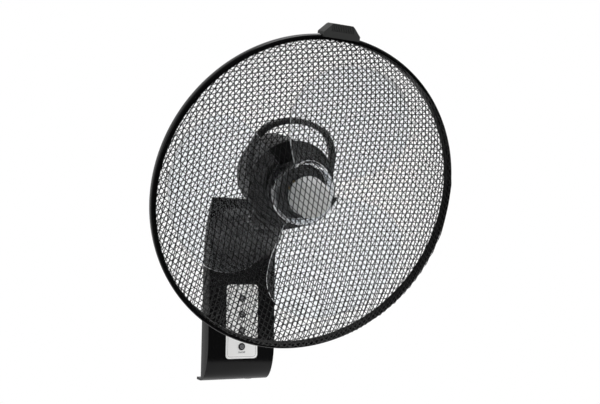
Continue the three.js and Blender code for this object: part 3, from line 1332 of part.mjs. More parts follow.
function addRotor() {
  const pinY = station(PIN_STATION);
  const shaft = cut(
    ringOf(0, SHAFT_RADIUS, SHAFT_FRONT, SHIELD_BACK - BEARING_SET_IN, SMALL_SIDES),
    rod("x", 0, PIN_RADIUS + BORE_GAP, -2 * SHAFT_RADIUS, 2 * SHAFT_RADIUS).translate(0, pinY, 0),
  );
  add(head, "motor_shaft", shaft, MATERIALS.steel);
  const core = ringOf(SHAFT_RADIUS + BORE_GAP, ROTOR_RADIUS, STATOR_FRONT, STATOR_BACK, CORE_SIDES);
  add(head, "rotor_core", core, MATERIALS.laminations);
  const pin = rod("x", 0, PIN_RADIUS, -PIN_HALF, PIN_HALF).translate(0, pinY, 0);
  add(head, "drive_pin", pin, MATERIALS.steel);
  add(head, "blades", blades(), MATERIALS.clear);
  add(head, "spinner", spinner(), MATERIALS.pale);
}

addHousing();
addControls();
addArm();
addNeck();
addSwingDrive();
addMotor();
addGuard();
addRotor();

export default fan;
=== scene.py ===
"""A wall mounted fan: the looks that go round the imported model, laid out as an add-on."""

import json
import math
from functools import partial

import bmesh
import bpy
from bpy.props import FloatProperty, FloatVectorProperty, PointerProperty
from mathutils import Matrix, Vector


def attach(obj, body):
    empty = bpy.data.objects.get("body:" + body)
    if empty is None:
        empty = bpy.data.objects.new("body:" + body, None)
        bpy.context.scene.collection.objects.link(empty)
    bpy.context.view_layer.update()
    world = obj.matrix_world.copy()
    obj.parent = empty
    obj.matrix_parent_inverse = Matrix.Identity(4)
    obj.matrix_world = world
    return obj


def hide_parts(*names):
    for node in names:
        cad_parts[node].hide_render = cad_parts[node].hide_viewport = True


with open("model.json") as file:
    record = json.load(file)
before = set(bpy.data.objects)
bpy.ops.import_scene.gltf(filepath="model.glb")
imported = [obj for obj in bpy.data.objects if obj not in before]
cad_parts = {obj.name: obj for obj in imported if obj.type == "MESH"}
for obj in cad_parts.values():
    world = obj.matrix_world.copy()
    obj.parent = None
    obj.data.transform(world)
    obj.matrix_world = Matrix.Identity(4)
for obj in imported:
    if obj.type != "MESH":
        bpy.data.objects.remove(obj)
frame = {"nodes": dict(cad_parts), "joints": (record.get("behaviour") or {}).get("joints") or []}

bl_info = {
    "name": "Wall Fan",
    "version": (1, 0, 0),
    "blender": (4, 5, 0),
    "location": "View3D > Sidebar > Wall Fan",
    "description": "Builds the visible pieces of a wall mounted fan round its frame",
    "category": "Object",
}

MM = 0.001
JOINTS = {joint["name"]: joint for joint in frame["joints"]}
HINGE = Vector(JOINTS["tilt"]["pos_m"])
SPIN_AXIS = Vector(JOINTS["rotor_spin"]["axis"])
REST_TILT = math.atan2(SPIN_AXIS.z, SPIN_AXIS.y)
SWIVEL_STATION = 144.0  # mm from the guard's middle plane back to the swing axis
HINGE_DROP = (Vector(JOINTS["rotor_spin"]["pos_m"]) - HINGE).dot(Vector((0, -SPIN_AXIS.z, SPIN_AXIS.y)))
NECK = Matrix.Translation(HINGE) @ Matrix.Rotation(REST_TILT, 4, "X")
HEAD = NECK @ Matrix.Translation((0, 0, HINGE_DROP))
TURN = 2 * math.pi


# ------------------------------------------------------------------ settings


def length(name, description, value):
    """A length property, given in millimetres."""
    return FloatProperty(name=name, description=description, default=value * MM, min=0.0, unit="LENGTH")


def colour(name, description, value):
    """A colour property."""
    return FloatVectorProperty(
        name=name, description=description, default=value, size=3, min=0.0, max=1.0, subtype="COLOR"
    )


class FanGuardSizes(bpy.types.PropertyGroup):
    """Sizes of the two grilles and the ring that joins them."""

    radius: length("Guard radius", "Outside radius of the ring round the guard", 220)
    strand_width: length("Strand width", "Width of a strand of the grille", 0.92)
    strand_depth: length("Strand depth", "Thickness of the grille's sheet", 0.5)
    strand_lean: length("Strand lean", "How far a strand's edge rises out of the sheet", 0.18)
    cell_upright: length("Upright pitch", "Distance between crossings along an upright strand", 8.32)
    cell_across: length("Slanted pitch, across", "How far a slanted strand runs across in one cell", 6.8)
    cell_down: length("Slanted pitch, down", "How far a slanted strand runs down in one cell", 5.16)
    dome_rise: length("Dome rise", "How far the front grille bulges out of its skirt", 40)
    skirt: length("Skirt", "Height of the front grille's rim", 14)
    bowl_depth: length("Bowl depth", "Depth of the rear grille", 69.1)


class FanBladeSizes(bpy.types.PropertyGroup):
    """Sizes of the blades, their hub and the spinner."""

    radius: length("Blade radius", "Radius that the blades' tips sweep", 194.2)
    thickness: length("Blade thickness", "Thickness of the clear blades", 1.9)
    # The blade rim is a painted highlight: a pale strip round each blade's edge, standing in for the light
    # that the clear edge catches.
    rim: length("Blade rim", "Width of the pale rim painted round a blade as its highlight", 0.8)
    # The rim's shade is painted shade: a dark strip inside the pale rim, standing in for the dark edge line
    # of clear plastic.
    rim_shade: length("Blade rim's shade", "Width of the painted shade line inside the rim", 1.2)
    hub_radius: length("Hub radius", "Radius of the clear hub", 45)
    spinner_radius: length("Spinner radius", "Radius of the pale cap in the middle", 28)


class FanHousingSizes(bpy.types.PropertyGroup):
    """Sizes of the wall housing and its panel."""

    wall: length("Housing wall", "Thickness of the housing's cover", 2.5)
    corner: length("Housing corner", "Rounding of the housing's front edges", 2.6)
    panel_corner: length("Panel corner", "Corner radius of the control panel", 6)
    key_radius: length("Key radius", "Radius of a push button", 5.5)


class FanColours(bpy.types.PropertyGroup):
    """Colours of the fan's finishes."""

    housing: colour("Housing", "Black moulded plastic", (0.0035, 0.0035, 0.0038))
    mesh: colour("Grille", "Black paint on the grille", (0.003, 0.003, 0.0032))
    clip: colour("Clip", "Dark grey plastic of the clip", (0.030, 0.031, 0.030))
    clear: colour("Blades", "Tint of the clear blades", (0.93, 0.95, 0.97))
    spinner: colour("Spinner", "Pale plastic of the spinner", (0.62, 0.63, 0.62))
    panel: colour("Panel", "Silver face of the control panel", (0.86, 0.86, 0.85))
    key: colour("Key", "Push buttons", (0.20, 0.20, 0.205))
    ink: colour("Ink", "Printed marks on the panel", (0.035, 0.035, 0.038))
    floor: colour("Floor", "Floor of the stage", (0.86, 0.86, 0.86))


# ------------------------------------------------------------------ node groups and materials

FLOAT, COLOUR, VECTOR = "NodeSocketFloat", "NodeSocketColor", "NodeSocketVector"
RELIEF = 0.4 * MM  # height of a finish's grain at full strength
DUST = (0.32, 0.31, 0.30)
WHITE = (1, 1, 1, 1)


def add_node(tree, kind, inputs=None, **settings):
    """A shader node with its settings, and a value or a link for each input that is named."""
    made = tree.nodes.new("ShaderNode" + kind)
    for name, value in settings.items():
        setattr(made, name, value)
    for name, value in (inputs or {}).items():
        if isinstance(value, bpy.types.NodeSocket):
            tree.links.new(value, made.inputs[name])
        else:
            made.inputs[name].default_value = value
    return made


def start_group(name, given, results):
    """A new shader node group, with the sockets inside it that give its inputs and take its outputs."""
    group = bpy.data.node_groups.new(name, "ShaderNodeTree")
    for label, kind, value in given:
        group.interface.new_socket(name=label, in_out="INPUT", socket_type=kind).default_value = value
    for label, kind in results:
        group.interface.new_socket(name=label, in_out="OUTPUT", socket_type=kind)
    return group, group.nodes.new("NodeGroupInput").outputs, group.nodes.new("NodeGroupOutput").inputs


def place_group(tree, name, build, inputs):
    """A node that holds a shared group, which is built the first time it is asked for."""
    return add_node(tree, "Group", inputs, node_tree=bpy.data.node_groups.get(name) or build(name))


def moulded_grain(name):
    """Fine height and gloss variation of a moulded or painted skin."""
    group, given, out = start_group(
        name,
        [("Scale", FLOAT, 900.0), ("Base Roughness", FLOAT, 0.3), ("Variation", FLOAT, 0.06)],
        [("Height", FLOAT), ("Roughness", FLOAT)],
    )
    place = add_node(group, "TexCoord").outputs["Object"]
    fine = add_node(group, "TexNoise", {"Vector": place, "Scale": given["Scale"], "Detail": 3.0})
    broad = add_node(group, "TexNoise", {"Vector": place, "Scale": 28.0, "Detail": 4.0})
    centred = add_node(group, "Math", {0: broad.outputs["Fac"], 1: 0.5}, operation="SUBTRACT")
    spread = add_node(
        group, "Math", {0: centred.outputs[0], 1: given["Variation"], 2: given["Base Roughness"]},
        operation="MULTIPLY_ADD",
    )
    group.links.new(fine.outputs["Fac"], out["Height"])
    group.links.new(spread.outputs[0], out["Roughness"])
    return group


def settled_dust(name):
    """Faint dust over a colour, thicker on faces that look up."""
    group, given, out = start_group(
        name,
        [
            ("Amount", FLOAT, 0.05), ("Clean", COLOUR, (0.0, 0.0, 0.0, 1.0)),
            ("Dusty", COLOUR, (0.3, 0.3, 0.3, 1.0)),
        ],
        [("Color", COLOUR)],
    )
    place = add_node(group, "TexCoord").outputs["Object"]
    patches = add_node(group, "TexNoise", {"Vector": place, "Scale": 45.0, "Detail": 6.0})
    normal = add_node(group, "NewGeometry").outputs["Normal"]
    height = add_node(group, "SeparateXYZ", {0: normal}).outputs["Z"]
    upward = add_node(group, "MapRange", {"Value": height, "From Min": -0.2, "From Max": 1.0, "To Min": 0.15})
    both = add_node(
        group, "Math", {0: patches.outputs["Fac"], 1: upward.outputs["Result"]}, operation="MULTIPLY"
    )
    scaled = add_node(
        group, "Math", {0: both.outputs[0], 1: given["Amount"]}, operation="MULTIPLY", use_clamp=True
    )
    mix = add_node(
        group, "Mix", {"Factor": scaled.outputs[0], "A": given["Clean"], "B": given["Dusty"]},
        data_type="RGBA",
    )
    group.links.new(mix.outputs["Result"], out["Color"])
    return group


def brushed_lines(name):
    """Height of fine drawn or rolled lines along one direction."""
    group, given, out = start_group(name, [("Stretch", VECTOR, (1.0, 1.0, 1.0))], [("Height", FLOAT)])
    place = add_node(group, "TexCoord").outputs["Object"]
    stretch = add_node(group, "VectorMath", {0: place, 1: given["Stretch"]}, operation="MULTIPLY")
    lines = add_node(group, "TexNoise", {"Vector": stretch.outputs[0], "Scale": 1.0, "Detail": 5.0})
    group.links.new(lines.outputs["Fac"], out["Height"])
    return group


def finish(
    name, color, roughness, metallic=0.0, specular=0.5, scale=900.0, bump=0.04, variation=0.06,
    dust=0.04, lines=None, transmission=0.0, ior=1.5,
):
    """A material with fine texture, uneven gloss and a little dust."""
    if name in bpy.data.materials:
        return bpy.data.materials[name]
    made = bpy.data.materials.new(name)
    made.use_nodes = True
    tree = made.node_tree
    shader = tree.nodes["Principled BSDF"].inputs
    shader["Metallic"].default_value = metallic
    shader["Specular IOR Level"].default_value = specular
    shader["IOR"].default_value = ior
    shader["Transmission Weight"].default_value = transmission
    grain = place_group(
        tree, "Moulded Grain", moulded_grain,
        {"Scale": scale, "Base Roughness": roughness, "Variation": variation},
    )
    tree.links.new(grain.outputs["Roughness"], shader["Roughness"])
    height = grain.outputs["Height"]
    if lines:
        height = place_group(tree, "Brushed Lines", brushed_lines, {"Stretch": lines}).outputs["Height"]
    relief = add_node(tree, "Bump", {"Strength": bump, "Distance": RELIEF, "Height": height})
    tree.links.new(relief.outputs["Normal"], shader["Normal"])
    dusting = place_group(
        tree, "Settled Dust", settled_dust, {"Amount": dust, "Clean": (*color, 1.0), "Dusty": (*DUST, 1.0)}
    )
    tree.links.new(dusting.outputs["Color"], shader["Base Color"])
    return made


def black_plastic():
    """Glossy black of the housing and the ring."""
    black = bpy.context.scene.fan_colours.housing
    return finish("Black Plastic", black, 0.2, specular=0.2, scale=1400, bump=0.012, dust=0.008)


def satin_black():
    """Less glossy black of the motor's covers, handle and arm."""
    black = bpy.context.scene.fan_colours.housing
    return finish(
        "Satin Black Plastic", black, 0.36, specular=0.4, scale=1800, bump=0.06, variation=0.1, dust=0.012
    )


def painted_mesh():
    """Black paint on the grilles."""
    black = bpy.context.scene.fan_colours.mesh
    return finish(
        "Painted Grille", black, 0.3, specular=0.16, scale=2200, bump=0.03, variation=0.08, dust=0.01
    )


def blackened_steel():
    """Dark finish of the tilt bolt."""
    return finish("Blackened Steel", (0.022, 0.022, 0.023), 0.42, specular=0.4, bump=0.05, dust=0.02)


def zinc_steel():
    """Bright plated steel of screws, pins and brackets."""
    return finish("Zinc Plated Steel", (0.62, 0.63, 0.64), 0.3, metallic=1.0, scale=700, bump=0.05, dust=0.02)


def printed(name, color, roughness=0.5, specular=0.3):
    """A smooth printed or inlaid mark."""
    return finish(name, color, roughness, specular=specular, scale=1500, bump=0.02, dust=0.02)


# ------------------------------------------------------------------ mesh helpers


def at(station):
    """Distance along the head's own y axis, in metres, of a station in millimetres."""
    return (station - SWIVEL_STATION) * MM


def add_piece(name, mesh_data, material, body, nodes=(), bevel=0.0, segments=2, angle=35.0):
    """Turns a bmesh into a finished object that rides on a body and stands for CAD nodes."""
    mesh = bpy.data.meshes.new(name)
    mesh_data.to_mesh(mesh)
    mesh_data.free()
    mesh.shade_smooth()
    mesh.set_sharp_from_angle(angle=math.radians(angle))
    piece = bpy.data.objects.new(name, mesh)
    bpy.context.scene.collection.objects.link(piece)
    mesh.materials.append(material)
    if bevel:
        rounding = piece.modifiers.new("Rounded edges", "BEVEL")
        rounding.width = bevel * MM
        rounding.segments = segments
        rounding.limit_method = "ANGLE"
        rounding.angle_limit = math.radians(angle)
        rounding.harden_normals = True
    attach(piece, body)
    if nodes:
        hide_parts(*nodes)
    return piece


def tidy(mesh_data):
    """Merges doubles and turns the faces out."""
    bmesh.ops.remove_doubles(mesh_data, verts=mesh_data.verts, dist=1e-6)
    bmesh.ops.recalc_face_normals(mesh_data, faces=mesh_data.faces)
    return mesh_data


def move(mesh_data, matrix):
    """Applies a matrix to every vertex."""
    bmesh.ops.transform(mesh_data, matrix=matrix, verts=mesh_data.verts)
    return mesh_data


def outline(mesh_data, points):
    """A closed loop of edges through points."""
    verts = [mesh_data.verts.new(p) for p in points]
    return verts, [mesh_data.edges.new((a, b)) for a, b in zip(verts, verts[1:] + verts[:1])]


def spun(points, steps, axis=(0, 1, 0)):
    """A closed profile, in metres, spun once round an axis through the origin."""
    made = bmesh.new()
    verts, edges = outline(made, points)
    bmesh.ops.spin(
        made, geom=verts + edges, cent=(0, 0, 0), axis=axis, dvec=(0, 0, 0), angle=TURN, steps=steps,
        use_merge=True, use_normal_flip=False, use_duplicate=False,
    )
    return tidy(made)


def lathe(profile, steps):
    """Spins a closed profile of (radius, y) in millimetres about the y axis."""
    return spun([(r * MM, y * MM, 0.0) for r, y in profile], steps)


def revolve(profile, steps=96, matrix=HEAD):
    """Spins a closed profile of (radius, station) in millimetres about the head's y axis."""
    return move(spun([(r * MM, at(s), 0.0) for r, s in profile], steps), matrix)


def rod(radius, start, end, axis, centre, steps=48, inner=0.0):
    """A round bar or tube along an axis. Lengths are in millimetres."""
    turn = {
        "x": Matrix.Rotation(-math.pi / 2, 4, "Z"),
        "y": Matrix.Identity(4),
        "z": Matrix.Rotation(math.pi / 2, 4, "X"),
    }[axis]
    made = lathe([(inner, start), (radius, start), (radius, end), (inner, end)], steps)
    return move(made, Matrix.Translation(Vector(centre) * MM) @ turn)


def loft(rings):
    """A closed solid through rings of points, extruded from ring to ring."""
    made = bmesh.new()
    verts, edges = outline(made, rings[0])
    bmesh.ops.contextual_create(made, geom=edges)
    for ring in rings[1:]:
        grown = bmesh.ops.extrude_edge_only(made, edges=edges)["geom"]
        fresh = [item for item in grown if isinstance(item, bmesh.types.BMVert)]
        known = {tuple(round(c, 9) for c in v.co): v for v in fresh}
        verts = [known[tuple(round(c, 9) for c in v.co)] for v in verts]
        edges = [made.edges.get((a, b)) for a, b in zip(verts, verts[1:] + verts[:1])]
        for vert, point in zip(verts, ring):
            vert.co = point
    bmesh.ops.contextual_create(made, geom=edges)
    bmesh.ops.recalc_face_normals(made, faces=made.faces)
    return made


def extrude_outline(points, along):
    """A closed prism: the outline through points, pushed along a vector."""
    made = bmesh.new()
    _, edges = outline(made, points)
    face = bmesh.ops.contextual_create(made, geom=edges)["faces"][0]
    pushed = bmesh.ops.extrude_face_region(made, geom=[face], use_keep_orig=True)["geom"]
    moved = [item for item in pushed if isinstance(item, bmesh.types.BMVert)]
    bmesh.ops.translate(made, vec=along, verts=moved)
    bmesh.ops.recalc_face_normals(made, faces=made.faces)
    return made


def plate(points, front, depth):
    """A flat plate: its outline in x and z, the y of its front and its depth, in millimetres."""
    return extrude_outline([(x * MM, front * MM, z * MM) for x, z in points], (0, depth * MM, 0))


def slab(points, half_width):
    """A slab from side to side: its outline in y and z and half its width, in millimetres."""
    return extrude_outline(
        [(-half_width * MM, y * MM, z * MM) for y, z in points], (2 * half_width * MM, 0, 0)
    )


def block(low, high):
    """A box between two corners, in millimetres."""
    made = bmesh.new()
    bmesh.ops.create_cube(made, size=1.0)
    low, high = Vector(low) * MM, Vector(high) * MM
    return move(made, Matrix.Translation((low + high) / 2) @ Matrix.Diagonal((*(high - low), 1.0)))


def combine(first, *others):
    """Adds other bmeshes to the first as separate bodies."""
    for other in others:
        held = bpy.data.meshes.new("held")
        other.to_mesh(held)
        other.free()
        first.from_mesh(held)
        bpy.data.meshes.remove(held)
    return first


def boolean(mesh_data, tool, operation):
    """The result of a boolean between two bmeshes."""
    objects = []
    for part in (mesh_data, tool):
        mesh = bpy.data.meshes.new("held")
        part.to_mesh(mesh)
        part.free()
        held = bpy.data.objects.new("held", mesh)
        bpy.context.scene.collection.objects.link(held)
        objects.append(held)
    body, cutter = objects
    change = body.modifiers.new("Boolean", "BOOLEAN")
    change.operation = operation
    change.solver = "EXACT"
    change.object = cutter
    evaluated = body.evaluated_get(bpy.context.evaluated_depsgraph_get())
    result = bmesh.new()
    result.from_mesh(evaluated.to_mesh())
    evaluated.to_mesh_clear()
    for held in objects:
        mesh = held.data
        bpy.data.objects.remove(held)
        bpy.data.meshes.remove(mesh)
    bmesh.ops.dissolve_degenerate(result, dist=1e-7, edges=result.edges)
    return result


def cut(mesh_data, *tools):
    """Cuts each tool out of a shape."""
    for tool in tools:
        mesh_data = boolean(mesh_data, tool, "DIFFERENCE")
    return mesh_data


def join(mesh_data, *others):
    """Joins shapes into one skin."""
    for other in others:
        mesh_data = boolean(mesh_data, other, "UNION")
    return mesh_data


def rounded_rectangle(width, height, radius, centre_z, steps=8):
    """Points of a rounded rectangle in x and z, in millimetres."""
    points = []
    for quarter, (sx, sz) in enumerate(((1, 1), (-1, 1), (-1, -1), (1, -1))):
        cx, cz = sx * (width / 2 - radius), sz * (height / 2 - radius)
        for i in range(steps + 1):
            angle = (quarter + i / steps) * math.pi / 2
            points.append((cx + radius * math.cos(angle), centre_z + cz + radius * math.sin(angle)))
    return points


def between(p, q, r, s, t):
    """The number a part t of the way from q to r, on a smooth curve that also passes p and s."""
    square, cube = 2 * p - 5 * q + 4 * r - s, 3 * q - p - 3 * r + s
    return 0.5 * (2 * q + (r - p) * t + square * t * t + cube * t ** 3)


def smooth_through(keys, steps):
    """Rows of numbers that pass smoothly through the given rows."""
    rows = []
    for i in range(len(keys) - 1):
        around = keys[max(i - 1, 0)], keys[i], keys[i + 1], keys[min(i + 2, len(keys) - 1)]
        for step in range(steps):
            rows.append([between(*four, step / steps) for four in zip(*around)])
    return rows + [list(keys[-1])]


def oblong(half_x, half_z, centre_z, y, power, count=56):
    """Points of a rounded oblong in x and z, in metres. A higher power makes it squarer."""
    points = []
    for i in range(count):
        angle = TURN * (i + 0.5) / count
        c, s = math.cos(angle), math.sin(angle)
        reach = (abs(c) ** power + abs(s) ** power) ** (-1 / power)
        points.append(Vector((half_x * c * reach, y, centre_z + half_z * s * reach)) * MM)
    return points


# ------------------------------------------------------------------ guard


FRONT_SHOULDER = 211.5  # mm, where the front grille's dome turns down into its skirt
HOOP_SEAT = 214.6  # mm, radius at which both grilles meet their hoops
RING_STEPS, HOOP_STEPS = 240, 180  # sides of the ring's and the hoops' circles


def front_surface(sizes, rho):
    """Radius and station, in millimetres, of the front grille for a plan radius."""
    shoulder, skirt = FRONT_SHOULDER, sizes.skirt / MM
    if rho <= shoulder:
        return rho, -skirt - sizes.dome_rise / MM * (1 - (rho / shoulder) ** 4.2)
    down = rho - shoulder
    return shoulder + (HOOP_SEAT - shoulder) * down / skirt, down - skirt


def rear_surface(sizes, rho):
    """Radius and station, in millimetres, of the rear grille for a plan radius."""
    edge, start = HOOP_SEAT, 13.0
    if rho <= edge:
        return rho, start + sizes.bowl_depth / MM * (1 - (rho / edge) ** 2.5)
    return edge, start - (rho - edge)


def pressed(surface, rho, lift):
    """Radius and station, in millimetres, of a point that lies `lift` off a grille's surface."""
    radius, station = surface(rho)
    near, far = surface(rho - 0.5), surface(rho + 0.5)
    along = Vector((far[0] - near[0], far[1] - near[1])).normalized()
    return radius + along.y * lift, station - along.x * lift


def grille(surface, sizes, inner, outer, mirrored, turned):
    """The woven sheet: a slanted grid of cells, each opened, thickened and pressed into its bowl."""
    made = bmesh.new()
    cells = int(2.6 * outer * MM / sizes.cell_across)
    bmesh.ops.create_grid(made, x_segments=cells, y_segments=cells, size=cells / 2)
    side = -1.0 if mirrored else 1.0
    lattice = Matrix.Identity(4)
    lattice.col[0][:3] = (side * sizes.cell_across, 0, -sizes.cell_down)
    lattice.col[1][:3] = (0, 0, sizes.cell_upright)
    lattice.col[2][:3] = (0, 1, 0)
    move(made, lattice)
    spin = Matrix.Rotation(math.radians(turned), 4, "Y")

    def plan(point):
        return math.hypot(point.x, point.z) / MM

    bmesh.ops.delete(
        made, geom=[f for f in made.faces if not inner < plan(f.calc_center_median()) < outer + 1.5],
        context="FACES",
    )
    cells_left = list(made.faces)
    middles = {f: f.calc_center_median() for f in cells_left}
    bmesh.ops.inset_individual(
        made, faces=cells_left, thickness=sizes.strand_width / 2, depth=0.0, use_even_offset=True
    )
    for face in cells_left:
        for vert in face.verts:
            vert.co.y = sizes.strand_lean * (1 if vert.co.x < middles[face].x else -1)
    bmesh.ops.delete(made, geom=cells_left, context="FACES_ONLY")
    for vert in made.verts:
        rho = plan(vert.co)
        held = min(max(rho, inner), outer) / rho
        vert.co.x *= held
        vert.co.z *= held
    bmesh.ops.dissolve_degenerate(made, dist=2e-5, edges=made.edges)
    grown = bmesh.ops.extrude_face_region(made, geom=made.faces[:], use_keep_orig=True)["geom"]
    bmesh.ops.translate(
        made, vec=(0, sizes.strand_depth, 0), verts=[g for g in grown if isinstance(g, bmesh.types.BMVert)]
    )
    for vert in made.verts:
        rho = plan(vert.co)
        radius, station = pressed(surface, rho, vert.co.y / MM)
        vert.co = Vector((vert.co.x * radius / rho, at(station), vert.co.z * radius / rho))
    bmesh.ops.recalc_face_normals(made, faces=made.faces)
    return move(made, HEAD @ spin)


def hoop(front):
    """The flat hoop round a grille's edge."""
    return revolve([(213.0, front), (217.5, front), (217.5, front + 4.7), (213.0, front + 4.7)], HOOP_STEPS)


class FAN_OT_front_grille(bpy.types.Operator):
    """Builds the domed front grille and its hoop"""

    bl_idname = "fan.front_grille"
    bl_label = "Front grille"

    def execute(self, context):
        sizes = context.scene.fan_guard
        outer = FRONT_SHOULDER + sizes.skirt / MM - 1.5
        sheet = grille(
            partial(front_surface, sizes), sizes, inner=0.1, outer=outer, mirrored=False, turned=0.0
        )
        add_piece(
            "front_grille", combine(sheet, hoop(-1.5)), painted_mesh(), "head",
            ["front_guard"], angle=50,
        )
        return {"FINISHED"}


class FAN_OT_rear_grille(bpy.types.Operator):
    """Builds the bowl of the rear grille, its hoop and the plate that seats it on the motor"""

    bl_idname = "fan.rear_grille"
    bl_label = "Rear grille"

    def execute(self, context):
        sizes = context.scene.fan_guard
        sheet = grille(
            partial(rear_surface, sizes), sizes, inner=63.0, outer=220.0, mirrored=True, turned=25.0
        )
        seat = revolve([(22.4, 75.9), (62.0, 75.9), (66.0, 75.3), (66.0, 76.7), (62.0, 77.3), (22.4, 77.3)])
        add_piece(
            "rear_grille", combine(sheet, hoop(3.7), seat), painted_mesh(), "head",
            ["rear_guard"], angle=50,
        )
        return {"FINISHED"}


class FAN_OT_ring(bpy.types.Operator):
    """Builds the band that holds the two grilles together, and the clip that closes it"""

    bl_idname = "fan.ring"
    bl_label = "Ring and clip"

    def execute(self, context):
        radius = context.scene.fan_guard.radius / MM
        profile = [
            (-3.4, -3.0), (-1.2, -3.0), (-0.2, -1.6), (0, 0.6), (0, 6.4), (-0.2, 8.6), (-1.2, 10.0),
            (-4.0, 10.0), (-4.0, 8.8), (-2.2, 8.8), (-2.2, -1.8), (-3.4, -1.8),
        ]
        band = revolve([(radius + out, station) for out, station in profile], RING_STEPS)
        add_piece("guard_band", band, black_plastic(), "head", ["guard_ring"], 0.3, 2)
        tone = finish(
            "Grey Clip Plastic", context.scene.fan_colours.clip, 0.5, specular=0.4, scale=1500, bump=0.1,
            dust=0.06,
        )
        add_piece("band_clip", self.clip(radius), tone, "head", ["guard_clip"], 0.5, 3)
        return {"FINISHED"}

    def clip(self, radius):
        """The grooved clip, bedded on the ring."""
        front, back, crown, edge = -6.8, 13.0, radius + 14.0, radius - 4.2
        half = [(26, edge), (26, radius + 2), (15.5, crown - 1.2), (13.5, crown)]
        points = [(-x, z) for x, z in half] + half[::-1]
        bed = [(0.001, -3.2), (radius + 0.2, -3.2), (radius + 0.2, 20.0), (0.001, 20.0)]
        made = cut(
            plate(points, front - SWIVEL_STATION, back - front), revolve(bed, RING_STEPS, Matrix.Identity(4))
        )
        grooves = [block((-0.55, 0, 0), (0.55, 1.2, 9.5)) for _ in range(13)]
        for i, groove in enumerate(grooves, -6):
            move(groove, Matrix.Translation((i * 2.5 * MM, at(front) - 0.4 * MM, (radius + 4) * MM)))
        return move(cut(made, combine(*grooves)), HEAD)


# ------------------------------------------------------------------ blades and spinner


BLADE_ROOT = 43.5  # mm, radius at which a blade leaves the hub
BLADE_STATION = 34.5  # mm from the guard's middle plane back to the middle of a blade's root
BLADE_SIDES = {-1: (50.4, 3.9), 1: (54.8, 4.36)}  # each side's half width in degrees, and its fullness
BLADE_ANGLES = (60.4, 180.4, 300.4)


def blade_point(out, across, reach):
    """A point of a blade's middle surface, in metres, from its place along and across the blade."""
    radius = BLADE_ROOT + (reach - BLADE_ROOT) * math.sin(math.pi / 2 * out)
    spread, fullness = BLADE_SIDES[-1 if across < 0 else 1]
    off = spread * math.sqrt(max(0.0, 1 - (radius / reach) ** fullness)) * across
    sweep = 5.9 * (1 - (radius / 150.0) ** 2)
    pitch = 0.17 + 0.0024 * radius
    station = BLADE_STATION - 0.117 * (radius - BLADE_ROOT) - pitch * off + 5.0 * (1 - across * across)
    angle = math.radians(sweep + off)
    return Vector((radius * math.cos(angle) * MM, at(station), radius * math.sin(angle) * MM))


def blade(sizes, first):
    """One blade: a grid bent into the blade's surface, with a painted highlight round its rim and a painted
    shade line inside it, and given its thickness.
    """
    made = bmesh.new()
    bmesh.ops.create_grid(made, x_segments=30, y_segments=30, size=0.5)
    reach = sizes.radius / MM
    for vert in made.verts:
        out, across = (vert.co.x + 0.5) * 0.996, vert.co.y * 2
        vert.co = blade_point(out, math.sin(across * math.pi / 2), reach)
    middle = made.faces[:]
    # Round the edge, a pale strip of painted highlight (material 1), and inside it a dark strip of painted
    # shade (material 2).
    for number, width in ((1, sizes.rim), (2, sizes.rim_shade)):
        before = set(made.faces)
        bmesh.ops.inset_region(made, faces=middle, thickness=width, use_even_offset=True)
        for face in set(made.faces) - before:
            face.material_index = number
    bmesh.ops.recalc_face_normals(made, faces=made.faces)
    below = set(made.verts)
    grown = bmesh.ops.extrude_face_region(made, geom=made.faces[:], use_keep_orig=True)["geom"]
    made.normal_update()
    for vert in [item for item in grown if isinstance(item, bmesh.types.BMVert)]:
        vert.co += vert.normal * sizes.thickness
    # The blade's edge walls also get the pale painted highlight.
    for face in made.faces:
        if 0 < sum(vert in below for vert in face.verts) < len(face.verts):
            face.material_index = 1
    bmesh.ops.recalc_face_normals(made, faces=made.faces)
    return move(made, Matrix.Rotation(-math.radians(first), 4, "Y"))


class FAN_OT_blades(bpy.types.Operator):
    """Builds the clear blades with their hub"""

    bl_idname = "fan.blades"
    bl_label = "Blades"

    def execute(self, context):
        sizes = context.scene.fan_blades
        radius = sizes.hub_radius / MM
        cup = [
            (4.3, 19.0), (radius - 6, 19.0), (radius - 2.6, 20.0), (radius - 0.7, 22.2), (radius, 25.5),
            (radius, 50.0), (radius - 2.2, 50.0), (radius - 2.2, 25.8), (radius - 3.2, 22.9),
            (radius - 6.4, 21.2), (9.0, 21.2), (9.0, 60.0), (4.3, 60.0),
        ]
        hub = revolve(cup, matrix=Matrix.Identity(4))
        made = move(combine(hub, *(blade(sizes, first) for first in BLADE_ANGLES)), HEAD)
        smooth = {"scale": 300, "bump": 0.01, "variation": 0.02, "dust": 0.0}
        clear = finish(
            "Clear Plastic", context.scene.fan_colours.clear, 0.04, transmission=1.0, ior=1.45, **smooth
        )
        # Pale, mostly opaque plastic that paints the highlight on the blades' edges.
        rim = finish(
            "Painted Light Blade Rim", (0.85, 0.86, 0.88), 0.2, specular=0.6, transmission=0.25, ior=1.49, **smooth
        )
        # Dark glass that paints the shade line inside the blades' edges.
        shade = finish("Painted Light Blade Rim Shade", (0.06, 0.062, 0.066), 0.1, transmission=1.0, ior=1.49, **smooth)
        piece = add_piece("blade_set", made, clear, "rotor", ["blades"], angle=100)
        piece.data.materials.append(rim)
        piece.data.materials.append(shade)
        return {"FINISHED"}


